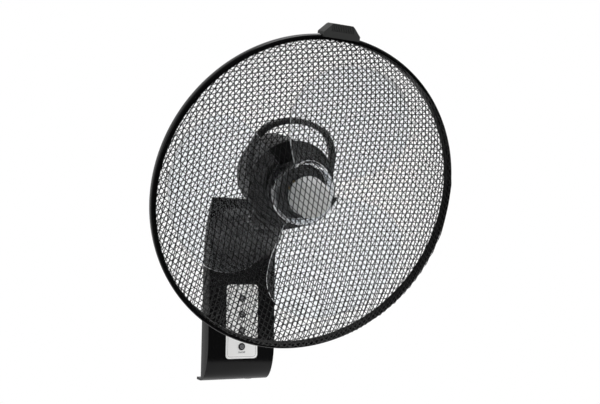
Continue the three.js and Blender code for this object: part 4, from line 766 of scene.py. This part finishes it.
class FAN_OT_spinner(bpy.types.Operator):
    """Builds the pale cap in the middle of the blades"""

    bl_idname = "fan.spinner"
    bl_label = "Spinner"

    def execute(self, context):
        radius = context.scene.fan_blades.spinner_radius / MM
        front, back = -9.0, 18.7
        rows = smooth_through(
            [
                (0.001, front), (radius * 0.5, front + 0.3), (radius * 0.8, front + 1.6),
                (radius * 0.9, front + 4.4), (radius * 0.94, front + 9), (radius, back),
            ],
            8,
        )
        inner = [
            (radius - 2.4, back), (radius - 2.4, front + 13), (9.0, front + 9), (9.0, back), (4.3, back),
            (4.3, -3.0), (0.001, -3.0),
        ]
        made = revolve([(max(r, 0.001), s) for r, s in rows] + inner)
        tone = finish("Pale Plastic", context.scene.fan_colours.spinner, 0.3, bump=0.03)
        add_piece("spinner_cap", made, tone, "rotor", ["spinner"], angle=50)
        return {"FINISHED"}


# ------------------------------------------------------------------ motor


class FAN_OT_motor(bpy.types.Operator):
    """Builds the motor's covers, the guard nut and the carry handle"""

    bl_idname = "fan.motor"
    bl_label = "Motor covers and handle"

    def execute(self, context):
        self.front_cover()
        self.rear_cover()
        self.nut()
        self.handle()
        return {"FINISHED"}

    def front_cover(self):
        """The round front cover, with its parting groove."""
        made = revolve(
            [
                (12.0, 62.0), (22.0, 62.0), (22.0, 77.6), (46.0, 77.6), (51.0, 78.2), (55.5, 80.0),
                (58.2, 83.2), (59.0, 87.5), (59.0, 100.0), (58.3, 100.4), (58.3, 101.4), (59.0, 101.8),
                (59.0, 112.0), (56.6, 112.0), (56.6, 87.6), (55.4, 83.8), (52.0, 81.4), (46.0, 80.2),
                (12.0, 80.2),
            ],
            128,
        )
        add_piece(
            "motor_cover_front", made, satin_black(), "head", ["motor_front_cover"], 0.3
        )

    def rear_cover(self):
        """The rounded rear cover, hollow, slotted and open below for the neck."""
        wall = 2.4
        sections = smooth_through(
            [
                (112.3, 59, 59), (140, 59, 59), (158, 57, 59), (172, 51, 57.5), (184, 41.5, 53),
                (193, 29, 45), (198.5, 14, 32),
            ],
            5,
        )

        def bowl(inset):
            rings = []
            for i, (station, across, up) in enumerate(sections):
                ahead = inset if i in (0, len(sections) - 1) else 0
                y = station - SWIVEL_STATION - ahead
                rings.append(oblong(max(across - inset, 1), up - inset, 0, y, 2, 72))
            return loft(rings)

        opening = rod(24, -160, -44, "z", (0, 0, 0), 64)
        slots = [block((-30, 24, i * 14 - 1.5), (30, 84, i * 14 + 1.5)) for i in range(-2, 3)]
        made = move(cut(bowl(0.0), bowl(wall), opening, combine(*slots)), HEAD)
        add_piece("motor_cover_rear", made, satin_black(), "head", ["motor_rear_cover"], 0.4)

    def nut(self):
        """The lobed nut that holds the rear grille."""
        lobes, count = 8, 96
        points = []
        for i in range(count):
            angle = TURN * i / count
            radius = 36 + 1.6 * math.cos(lobes * angle)
            points.append((radius * math.cos(angle), radius * math.sin(angle)))
        bore = revolve([(0.001, 50.0), (22.3, 50.0), (22.3, 90.0), (0.001, 90.0)], 72, Matrix.Identity(4))
        made = move(cut(plate(points, 64.0 - SWIVEL_STATION, 11.6), bore), HEAD)
        add_piece("nut_collar", made, satin_black(), "head", ["guard_nut"], 0.8, 3)

    def handle(self):
        """The carry handle's loop over the motor."""
        half = [(63.3, 6), (64, 34), (60.5, 56), (46, 77), (24, 88), (0, 91.5)]
        path = smooth_through(half + [(-x, z) for x, z in reversed(half[:-1])], 6)
        section = rounded_rectangle(8, 15, 2.8, 0, 4)
        rings = []
        for i, (x, z) in enumerate(path):
            ahead, behind = path[min(i + 1, len(path) - 1)], path[max(i - 1, 0)]
            along = Vector((ahead[0] - behind[0], 0, ahead[1] - behind[1])).normalized()
            out = Vector((along.z, 0, -along.x))
            centre = Vector((x * MM, at(92.0), z * MM))
            rings.append([centre + out * u * MM + Vector((0, v * MM, 0)) for u, v in section])
        made = move(loft(rings), HEAD)
        add_piece("handle_loop", made, satin_black(), "head", ["carry_handle"])


# ------------------------------------------------------------------ arm, tilt joint and neck


class FAN_OT_arm(bpy.types.Operator):
    """Builds the arm, the neck and the tilt joint's bolt"""

    bl_idname = "fan.arm"
    bl_label = "Arm and tilt joint"

    def execute(self, context):
        self.arm()
        self.neck()
        self.hardware()
        return {"FINISHED"}

    def arm(self):
        """The arm, with a fork at its end for the neck's tongue."""
        y0, z0 = HINGE.y / MM, HINGE.z / MM
        keys = [
            (-57.0, 55, 49.5, 148.5), (-70, 53.5, 55, 134), (-88, 50, 62.5, 122), (-110, 45, 72.5, 115.5),
            (-132, 39, 82, 112), (-150, 32, 91, 113), (y0 + 6, 28, z0 - 14, z0 + 10),
        ]
        rings = [
            oblong(half, (high - low) / 2, (high + low) / 2, y, 3.2)
            for y, half, low, high in smooth_through(keys, 6)
        ]
        made = join(loft(rings), rod(14, -28, 28, "x", (0, y0, z0), 64))
        made = cut(made, block((-13.7, y0 - 40, z0 - 30), (13.7, y0 + 15.5, z0 + 40)))
        add_piece("arm_body", made, satin_black(), "wall_bracket", ["support_arm"], 0.5)

    def neck(self):
        """The tongue, stem and collar that carry the head."""
        middle = (0, 0, 0)
        tongue = rod(13.5, -12, 12, "x", middle, 64)
        stem = rod(12, 0, 27, "z", middle, 64)
        collar = rod(16, 24, 27, "z", middle, 64)
        bores = rod(3.3, -20, 20, "x", middle, 32), rod(5.3, 10, 40, "z", middle, 32)
        made = move(cut(join(tongue, stem, collar), *bores), NECK)
        add_piece("neck_post", made, satin_black(), "neck", ["tilt_neck"], 0.4)

    def hardware(self):
        """The tilt joint's bolt, nut and washers."""
        y, z = HINGE.y / MM, HINGE.z / MM
        centre = (0, y, z)
        slot = block((30.4, y - 4.2, z - 0.6), (32.6, y + 4.2, z + 0.6))
        head = cut(rod(6, 28.3, 31.6, "x", centre, 48), slot)
        bolt = join(head, rod(3, -33.3, 28.6, "x", centre, 32))
        add_piece("hinge_bolt", bolt, blackened_steel(), "wall_bracket", ["tilt_bolt"], 0.4, 3)
        hexagon = [
            (-32.3 * MM, (y + 6 * math.cos(a)) * MM, (z + 6 * math.sin(a)) * MM)
            for a in (TURN * i / 6 for i in range(6))
        ]
        nut = cut(extrude_outline(hexagon, (4 * MM, 0, 0)), rod(3.3, -40, -20, "x", centre, 32))
        add_piece("hinge_nut", nut, zinc_steel(), "wall_bracket", ["tilt_nut"], 0.3)
        for name, start in (("left", -13.4), ("right", 12.3)):
            washer = rod(9, start, start + 1.1, "x", centre, 64, 3.3)
            add_piece(
                f"hinge_washer_{name}", washer, zinc_steel(), "wall_bracket",
                [f"tilt_washer_{name}"], 0.15,
            )


# ------------------------------------------------------------------ wall housing and panel


HOUSING_TOP, HOUSING_BOTTOM = 157.0, -144.5  # mm
HOUSING_HALF_WIDTH = 57.5
HOUSING_FACE = -59.0  # y of the flat front face
HOUSING_BACK = -22.0  # y of the cover's back edge
TOP_EDGE = -63.5  # y at which the front and the back meet at the top
LEAN_START = 84.0  # height from which the front leans out towards the top
FOOT_LIP = 4.2  # thickness of the lip under the housing


def housing_line(inset):
    """Points in y and z, in millimetres, of the housing's front from its top edge to its foot."""
    tall = HOUSING_TOP - LEAN_START
    line = []
    for i in range(14):
        z = HOUSING_TOP - tall * i / 14
        line.append((HOUSING_FACE + inset - 7.0 * ((z - LEAN_START) / tall) ** 2, z))
    drop = 58.5 - (FOOT_LIP if inset > 0 else 0.0)
    for i in range(29):
        angle = math.pi + math.pi / 2 * i / 28
        line.append((-19.0 + (40.0 - inset) * math.cos(angle), -86.0 + drop * math.sin(angle)))
    return line


class FAN_OT_housing(bpy.types.Operator):
    """Builds the glossy cover of the wall housing"""

    bl_idname = "fan.housing"
    bl_label = "Wall housing"

    def execute(self, context):
        sizes = context.scene.fan_housing
        wall = sizes.wall / MM
        lip_top, bend = HOUSING_BOTTOM + FOOT_LIP, 62.0
        side = housing_line(0.0) + [
            (-0.3, HOUSING_BOTTOM), (-0.3, lip_top), (HOUSING_BACK, lip_top), (HOUSING_BACK, bend),
        ]
        for i in range(1, 10):
            up = i / 10
            side.append((HOUSING_BACK - 39.0 * up ** 2 - 2.5 * up * (1 - up), bend + 95.0 * up))
        side.append((TOP_EDGE, HOUSING_TOP))
        made = slab(side, HOUSING_HALF_WIDTH)
        front_edges = [edge for edge in made.edges if self.runs_down_the_front(edge)]
        bmesh.ops.bevel(
            made, geom=front_edges, offset=sizes.corner, offset_type="OFFSET", segments=4, profile=0.5,
            affect="EDGES", material=-1, clamp_overlap=True,
        )
        inside = housing_line(wall) + [
            (1.0, lip_top), (1.0, HOUSING_TOP + wall), (TOP_EDGE, HOUSING_TOP + wall),
        ]
        made = cut(made, slab(inside, HOUSING_HALF_WIDTH - wall))
        add_piece(
            "housing_cover", made, black_plastic(), "wall_bracket", ["front_cover"], 0.35
        )
        return {"FINISHED"}

    def runs_down_the_front(self, edge):
        """Whether an edge is a front edge of either side, between the top face and the foot."""
        ends = [vert.co / MM for vert in edge.verts]
        return (
            all(abs(abs(end.x) - HOUSING_HALF_WIDTH) < 0.001 and end.y < -40 for end in ends)
            and abs(ends[0].x - ends[1].x) < 0.001
            and min(end.z for end in ends) > HOUSING_BOTTOM + 1.5
            and not all(end.z > HOUSING_TOP - 0.01 for end in ends)
        )


class FAN_OT_panel(bpy.types.Operator):
    """Builds the silver panel, its printed marks and the push buttons"""

    bl_idname = "fan.panel"
    bl_label = "Control panel"

    KEYS = [-9.0 - 26.2 * i for i in range(4)]  # heights of the buttons
    MIDDLE = -46.5  # height of the panel's middle
    FACE, KEY_FACE = -59.6, -61.0  # y of the panel's and the buttons' front faces

    def execute(self, context):
        sizes = context.scene.fan_housing
        colours = context.scene.fan_colours
        key = sizes.key_radius / MM
        sheet = plate(rounded_rectangle(55, 121, sizes.panel_corner / MM, self.MIDDLE), self.FACE, 1.1)
        holes = combine(*(rod(key + 0.35, -62, -50, "y", (0, 0, z), 48) for z in self.KEYS))
        sheet = cut(sheet, holes)
        silver = finish("Silver Panel Face", colours.panel, 0.38, scale=2600, bump=0.06, dust=0.03)
        add_piece("panel_plate", sheet, silver, "wall_bracket", ["control_panel"], 0.25)
        self.border()
        ink = printed("Panel Ink", colours.ink)
        add_piece("panel_signs", self.signs(), ink, "wall_bracket")
        add_piece("panel_words", self.words(), ink, "wall_bracket")
        for number, z in enumerate(self.KEYS, 1):
            self.button(number, z, key, colours.key)
            self.key_sign(number, z)
        return {"FINISHED"}

    def button(self, number, z, radius, color):
        """A push button with a dark rim."""
        tone = finish("Key Plastic", color, 0.34, scale=1500, dust=0.03)
        rim = finish("Key Rim", (0.008, 0.008, 0.009), 0.35, specular=0.4, scale=1500, bump=0.03, dust=0.02)
        profile = [
            (0.001, self.KEY_FACE), (radius - 1.9, self.KEY_FACE), (radius - 1.2, -61.2),
            (radius - 0.5, -61.1), (radius, -60.6), (radius, -56.2), (radius + 1.9, -56.2),
            (radius + 1.9, -55.0), (2.5, -55.0), (2.5, -53.9), (0.001, -53.9),
        ]
        name = f"button_{number}"
        made = move(lathe(profile, 48), Matrix.Translation((0, 0, z * MM)))
        piece = add_piece(f"key_{number}", made, tone, name, [name], angle=30)
        piece.data.materials.append(rim)
        for face in piece.data.polygons:
            reach = math.hypot(face.center.x, face.center.z - z * MM) / MM
            if reach > radius - 1.9 and face.center.y < -60.5 * MM:
                face.material_index = 1

    def mark(self, points, face):
        """A mark that stands a little out of a face: a thin plate."""
        return plate(points, face - 0.06, 0.08)

    def arc_band(self, centre_z, inner, outer, start, end, face):
        """A mark in the shape of a ring's arc."""
        steps = 28
        angles = [start + (end - start) * i / steps for i in range(steps + 1)]
        points = [(outer * math.cos(a), centre_z + outer * math.sin(a)) for a in angles]
        points += [(inner * math.cos(a), centre_z + inner * math.sin(a)) for a in reversed(angles)]
        return self.mark(points, face)

    def bar(self, x0, x1, z0, z1, face):
        """A mark in the shape of a bar."""
        return block((x0, face - 0.06, z0), (x1, face + 0.02, z1))

    def border(self):
        """The thin line round the panel."""
        made = bmesh.new()
        for width, height, corner in ((48.8, 115.4, 4.4), (47.8, 114.4, 3.9)):
            points = rounded_rectangle(width, height, corner, self.MIDDLE)
            outline(made, [(x * MM, (self.FACE - 0.05) * MM, z * MM) for x, z in points])
        bmesh.ops.bridge_loops(made, edges=made.edges[:])
        bmesh.ops.recalc_face_normals(made, faces=made.faces)
        bmesh.ops.solidify(made, geom=made.faces[:], thickness=0.06 * MM)
        grey = printed("Panel Border", (0.25, 0.25, 0.25))
        add_piece("panel_border", made, grey, "wall_bracket")

    def signs(self):
        """The signs under the upper three buttons."""
        face = self.FACE
        z = self.KEYS[0] - 9.6
        shapes = []
        for i, rise in enumerate((1.4, 2.2, 3.0)):
            x = -3.0 + 2.3 * i
            shapes.append(self.bar(x, x + 1.3, z - 1.4, z - 1.4 + rise, face))
        z = self.KEYS[1] - 9.4
        shapes.append(self.bar(-4.2, 4.2, z - 0.35, z + 0.35, face))
        shapes.append(self.mark([(-5.6, z), (-3.8, z + 1.4), (-3.8, z - 1.4)], face))
        shapes.append(self.mark([(3.8, z - 1.4), (3.8, z + 1.4), (5.6, z)], face))
        z = self.KEYS[2] - 9.6
        shapes.append(self.arc_band(z, 1.5, 2.0, 0, TURN * 0.999, face))
        shapes.append(self.bar(-0.25, 0.25, z, z + 1.2, face))
        shapes.append(self.bar(0.0, 1.0, z - 0.25, z + 0.25, face))
        return combine(*shapes)

    def words(self):
        """The plain words under the lowest button."""
        curve = bpy.data.curves.new("on_off", "FONT")
        curve.body = "ON/OFF"
        curve.size = 3.5 * MM
        curve.offset = 0.09 * MM
        curve.align_x = "CENTER"
        curve.align_y = "CENTER"
        curve.extrude = 0.03 * MM
        held = bpy.data.objects.new("on_off_words", curve)
        bpy.context.scene.collection.objects.link(held)
        evaluated = held.evaluated_get(bpy.context.evaluated_depsgraph_get())
        made = bmesh.new()
        made.from_mesh(evaluated.to_mesh())
        evaluated.to_mesh_clear()
        bpy.data.objects.remove(held)
        place = Matrix.Translation((0, (self.FACE - 0.02) * MM, (self.KEYS[3] - 9.4) * MM))
        return move(made, place @ Matrix.Rotation(math.pi / 2, 4, "X"))

    def key_sign(self, number, z):
        """The generic sign in the middle of a push button."""
        face = self.KEY_FACE
        if number == 4:
            gap = 0.6
            shapes = [
                self.arc_band(z, 1.5, 2.1, math.pi / 2 + gap, math.pi / 2 + TURN - gap, face),
                self.bar(-0.3, 0.3, z + 0.4, z + 2.4, face),
            ]
        elif number == 3:
            shapes = [self.arc_band(z, 1.6, 2.1, 0, TURN * 0.999, face)]
        elif number == 2:
            shapes = [
                self.bar(-2.2, 2.2, z - 0.3, z + 0.3, face), self.bar(-0.3, 0.3, z - 1.6, z + 1.6, face),
            ]
        else:
            shapes = [
                self.bar(-2.0 + 1.5 * i, -1.0 + 1.5 * i, z - 1.4, z - 0.4 + 0.9 * i, face) for i in range(3)
            ]
        dark = printed("Key Sign", (0.012, 0.012, 0.012), 0.4, 0.4)
        add_piece(f"key_sign_{number}", combine(*shapes), dark, f"button_{number}")


class FAN_OT_fasteners(bpy.types.Operator):
    """Builds the case screws and the cord gland"""

    bl_idname = "fan.fasteners"
    bl_label = "Screws and gland"

    def execute(self, context):
        for i, (x, z) in enumerate([(-40, 78), (40, 78), (-40, -118), (40, -118)], 1):
            made = lathe(
                [
                    (0.001, -22.5), (1.2, -22.5), (1.6, -21.0), (1.6, -2.0), (3.6, -2.0), (3.6, -1.3),
                    (3.0, -0.7), (1.8, -0.35), (0.001, -0.3),
                ],
                32,
            )
            for wide, tall in ((1.9, 0.4), (0.4, 1.9)):
                made = cut(made, block((-wide, -1.3, -tall), (wide, 0.5, tall)))
            move(made, Matrix.Translation((x * MM, 0, z * MM)))
            add_piece(f"screw_{i}", made, zinc_steel(), "wall_bracket", [f"case_screw_{i}"])
        bush = [
            (3.6, -145.3), (7.6, -145.3), (8.6, -145.1), (8.6, -144.8), (6.0, -144.8), (6.0, -140.0),
            (8.6, -140.0), (8.6, -138.0), (3.6, -138.0),
        ]
        made = spun([(r * MM, 0, z * MM) for r, z in bush], 48, (0, 0, 1))
        move(made, Matrix.Translation((28 * MM, -11 * MM, 0)))
        rubber = finish("Gland Rubber", (0.012, 0.012, 0.012), 0.7, specular=0.3, bump=0.1, dust=0.05)
        add_piece("cord_bush", made, rubber, "wall_bracket", ["cord_gland"], 0.3)
        return {"FINISHED"}


# ------------------------------------------------------------------ pieces that stay as they are


class FAN_OT_inner_parts(bpy.types.Operator):
    """Gives the frame's own pieces their finishes"""

    bl_idname = "fan.inner_parts"
    bl_label = "Inner parts"

    def execute(self, context):
        metal = {"metallic": 1.0, "dust": 0.02}
        laminated = finish(
            "Stacked Laminations", (0.36, 0.37, 0.38), 0.4, lines=(8, 2400, 2400), bump=0.25, **metal
        )
        copper = finish(
            "Varnished Copper", (0.62, 0.25, 0.10), 0.3, lines=(900, 900, 2500), bump=0.5, **metal
        )
        cast = finish("Cast Alloy", (0.50, 0.51, 0.52), 0.5, scale=1200, bump=0.25, **metal)
        bronze = finish(
            "Sintered Bronze", (0.45, 0.32, 0.14), 0.5, metallic=1.0, scale=2600, bump=0.3, dust=0.0
        )
        board = finish("Circuit Board", (0.03, 0.16, 0.07), 0.4, scale=1600, bump=0.05, dust=0.02)
        can = finish("Capacitor Can", (0.05, 0.05, 0.055), 0.45, scale=1400, bump=0.06, dust=0.02)
        nylon = finish("White Nylon", (0.72, 0.70, 0.65), 0.45, scale=1200, dust=0.02)
        nodes = {
            laminated: ("stator_core", "rotor_core"),
            copper: ("front_winding", "rear_winding"),
            cast: ("front_end_shield", "rear_end_shield", "swivel_bracket"),
            bronze: ("front_bearing", "rear_bearing"),
            board: ("circuit_board",),
            can: ("run_capacitor",),
            nylon: ("swing_crank",),
            satin_black(): ("rear_case",),
            zinc_steel(): (
                "wall_plate", "swivel_spindle", "swing_lever", "swing_link", "motor_shaft", "drive_pin",
                "swing_motor",
            ),
        }
        for tone, names in nodes.items():
            for name in names:
                materials = frame["nodes"][name].data.materials
                materials.clear()
                materials.append(tone)
        return {"FINISHED"}


# ------------------------------------------------------------------ stage


class FAN_OT_stage(bpy.types.Operator):
    """Sets up the floor, the light and the camera"""

    bl_idname = "fan.stage"
    bl_label = "Stage"

    def execute(self, context):
        self.camera(context)
        self.floor(context)
        self.world(context)
        self.lamps(context)
        context.scene.view_settings.view_transform = "Standard"
        return {"FINISHED"}

    def camera(self, context):
        """The camera, at the photo's angle."""
        yaw, pitch, roll = (math.radians(a) for a in (24.17, 6.16, -0.53))
        ahead = Vector((math.sin(yaw) * math.cos(pitch), math.cos(yaw) * math.cos(pitch), math.sin(pitch)))
        right = Vector((math.cos(yaw), -math.sin(yaw), 0))
        down = ahead.cross(right)
        turned_right = right * math.cos(roll) + down * math.sin(roll)
        turned_down = down * math.cos(roll) - right * math.sin(roll)
        basis = Matrix((turned_right, -turned_down, -ahead)).transposed().to_4x4()
        basis.translation = Vector((-434.6, -1257.0, 15.8)) * MM
        data = bpy.data.cameras.new("photo_camera")
        data.lens = 45.6
        data.sensor_width = 36.0
        data.clip_start = 0.01
        camera = bpy.data.objects.new("photo_camera", data)
        camera.matrix_world = basis
        context.scene.collection.objects.link(camera)
        context.scene.camera = camera

    def floor(self, context):
        """A pale round floor below the fan."""
        made = bmesh.new()
        bmesh.ops.create_circle(made, cap_ends=True, segments=96, radius=0.75)
        bmesh.ops.translate(made, vec=(0, 0, -0.7), verts=made.verts)
        mesh = bpy.data.meshes.new("floor")
        made.to_mesh(mesh)
        made.free()
        floor = bpy.data.objects.new("floor", mesh)
        context.scene.collection.objects.link(floor)
        pale = context.scene.fan_colours.floor
        mesh.materials.append(finish("Pale Floor", pale, 0.7, specular=0.2, scale=60, bump=0.02, dust=0.0))

    def world(self, context):
        """White to the camera, in mirrors and through glass, and a soft studio for light."""
        world = bpy.data.worlds.new("Studio")
        world.use_nodes = True
        tree = world.node_tree
        tree.nodes.clear()
        path = add_node(tree, "LightPath").outputs
        seen = add_node(
            tree, "Math", {0: path["Is Camera Ray"], 1: path["Is Transmission Ray"]}, operation="MAXIMUM"
        ).outputs[0]
        mirrored = add_node(tree, "Math", {0: seen, 1: path["Is Glossy Ray"]}, operation="MAXIMUM").outputs[0]
        place = add_node(tree, "TexCoord").outputs["Generated"]
        apart = add_node(tree, "SeparateXYZ", {0: place}).outputs
        sideways = add_node(
            tree, "MapRange", {"Value": apart["X"], "From Min": -1.0, "To Min": 0.3, "To Max": 1.1}
        )
        behind = add_node(
            tree, "MapRange",
            {"Value": apart["Y"], "From Min": -0.3, "From Max": 0.4, "To Min": 0.06, "To Max": 0.6},
            interpolation_type="SMOOTHSTEP",
        )
        white = add_node(tree, "Background", {"Color": WHITE, "Strength": 1.0})
        plain = add_node(tree, "Background", {"Color": WHITE, "Strength": sideways.outputs["Result"]})
        glossy = add_node(tree, "Background", {"Strength": behind.outputs["Result"]})
        lit = add_node(tree, "MixShader", {"Fac": mirrored, 1: plain.outputs[0], 2: glossy.outputs[0]})
        mix = add_node(tree, "MixShader", {"Fac": seen, 1: lit.outputs[0], 2: white.outputs[0]})
        add_node(tree, "OutputWorld", {"Surface": mix.outputs[0]})
        context.scene.world = world

    def lamps(self, context):
        """Three soft round lamps that face the fan."""
        target = Vector((0, -0.25, 0.08))
        for name, place, size, power in (
            ("key_light", (1.5, -1.6, 1.3), 1.0, 26.0),
            ("left_light", (-1.9, -0.7, 0.5), 0.8, 5.0),
            ("top_light", (0.1, -0.4, 1.9), 1.2, 14.0),
        ):
            data = bpy.data.lights.new(name, "AREA")
            data.shape = "DISK"
            data.size = size
            data.energy = power
            lamp = bpy.data.objects.new(name, data)
            aim = (target - Vector(place)).to_track_quat("-Z", "Y")
            lamp.matrix_world = Matrix.Translation(place) @ aim.to_matrix().to_4x4()
            context.scene.collection.objects.link(lamp)


# ------------------------------------------------------------------ panel and registration

OPERATORS = (
    FAN_OT_front_grille,
    FAN_OT_rear_grille,
    FAN_OT_ring,
    FAN_OT_blades,
    FAN_OT_spinner,
    FAN_OT_motor,
    FAN_OT_arm,
    FAN_OT_housing,
    FAN_OT_panel,
    FAN_OT_fasteners,
    FAN_OT_inner_parts,
    FAN_OT_stage,
)


class FAN_PT_build(bpy.types.Panel):
    """Lists the fan's sizes, colours and build steps"""

    bl_idname = "FAN_PT_build"
    bl_label = "Wall Fan"
    bl_space_type = "VIEW_3D"
    bl_region_type = "UI"
    bl_category = "Wall Fan"

    def draw(self, context):
        for holder in GROUPS:
            group = getattr(context.scene, holder)
            box = self.layout.box()
            for name in group.__annotations__:
                box.prop(group, name)
        for operator in OPERATORS:
            self.layout.operator(operator.bl_idname)


GROUPS = {
    "fan_guard": FanGuardSizes,
    "fan_blades": FanBladeSizes,
    "fan_housing": FanHousingSizes,
    "fan_colours": FanColours,
}


def register():
    """Registers the sizes, the colours, the steps and the sidebar's panel."""
    for group in GROUPS.values():
        bpy.utils.register_class(group)
    for name, group in GROUPS.items():
        setattr(bpy.types.Scene, name, PointerProperty(type=group))
    for operator in OPERATORS:
        bpy.utils.register_class(operator)
    bpy.utils.register_class(FAN_PT_build)


def unregister():
    """Takes back what register did."""
    bpy.utils.unregister_class(FAN_PT_build)
    for operator in reversed(OPERATORS):
        bpy.utils.unregister_class(operator)
    for name, group in GROUPS.items():
        delattr(bpy.types.Scene, name)
        bpy.utils.unregister_class(group)


def main():
    """Registers the add-on and builds the fan step by step."""
    register()
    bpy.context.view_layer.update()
    for operator in OPERATORS:
        group, name = operator.bl_idname.split(".")
        getattr(getattr(bpy.ops, group), name)()


if __name__ == "__main__":
    main()
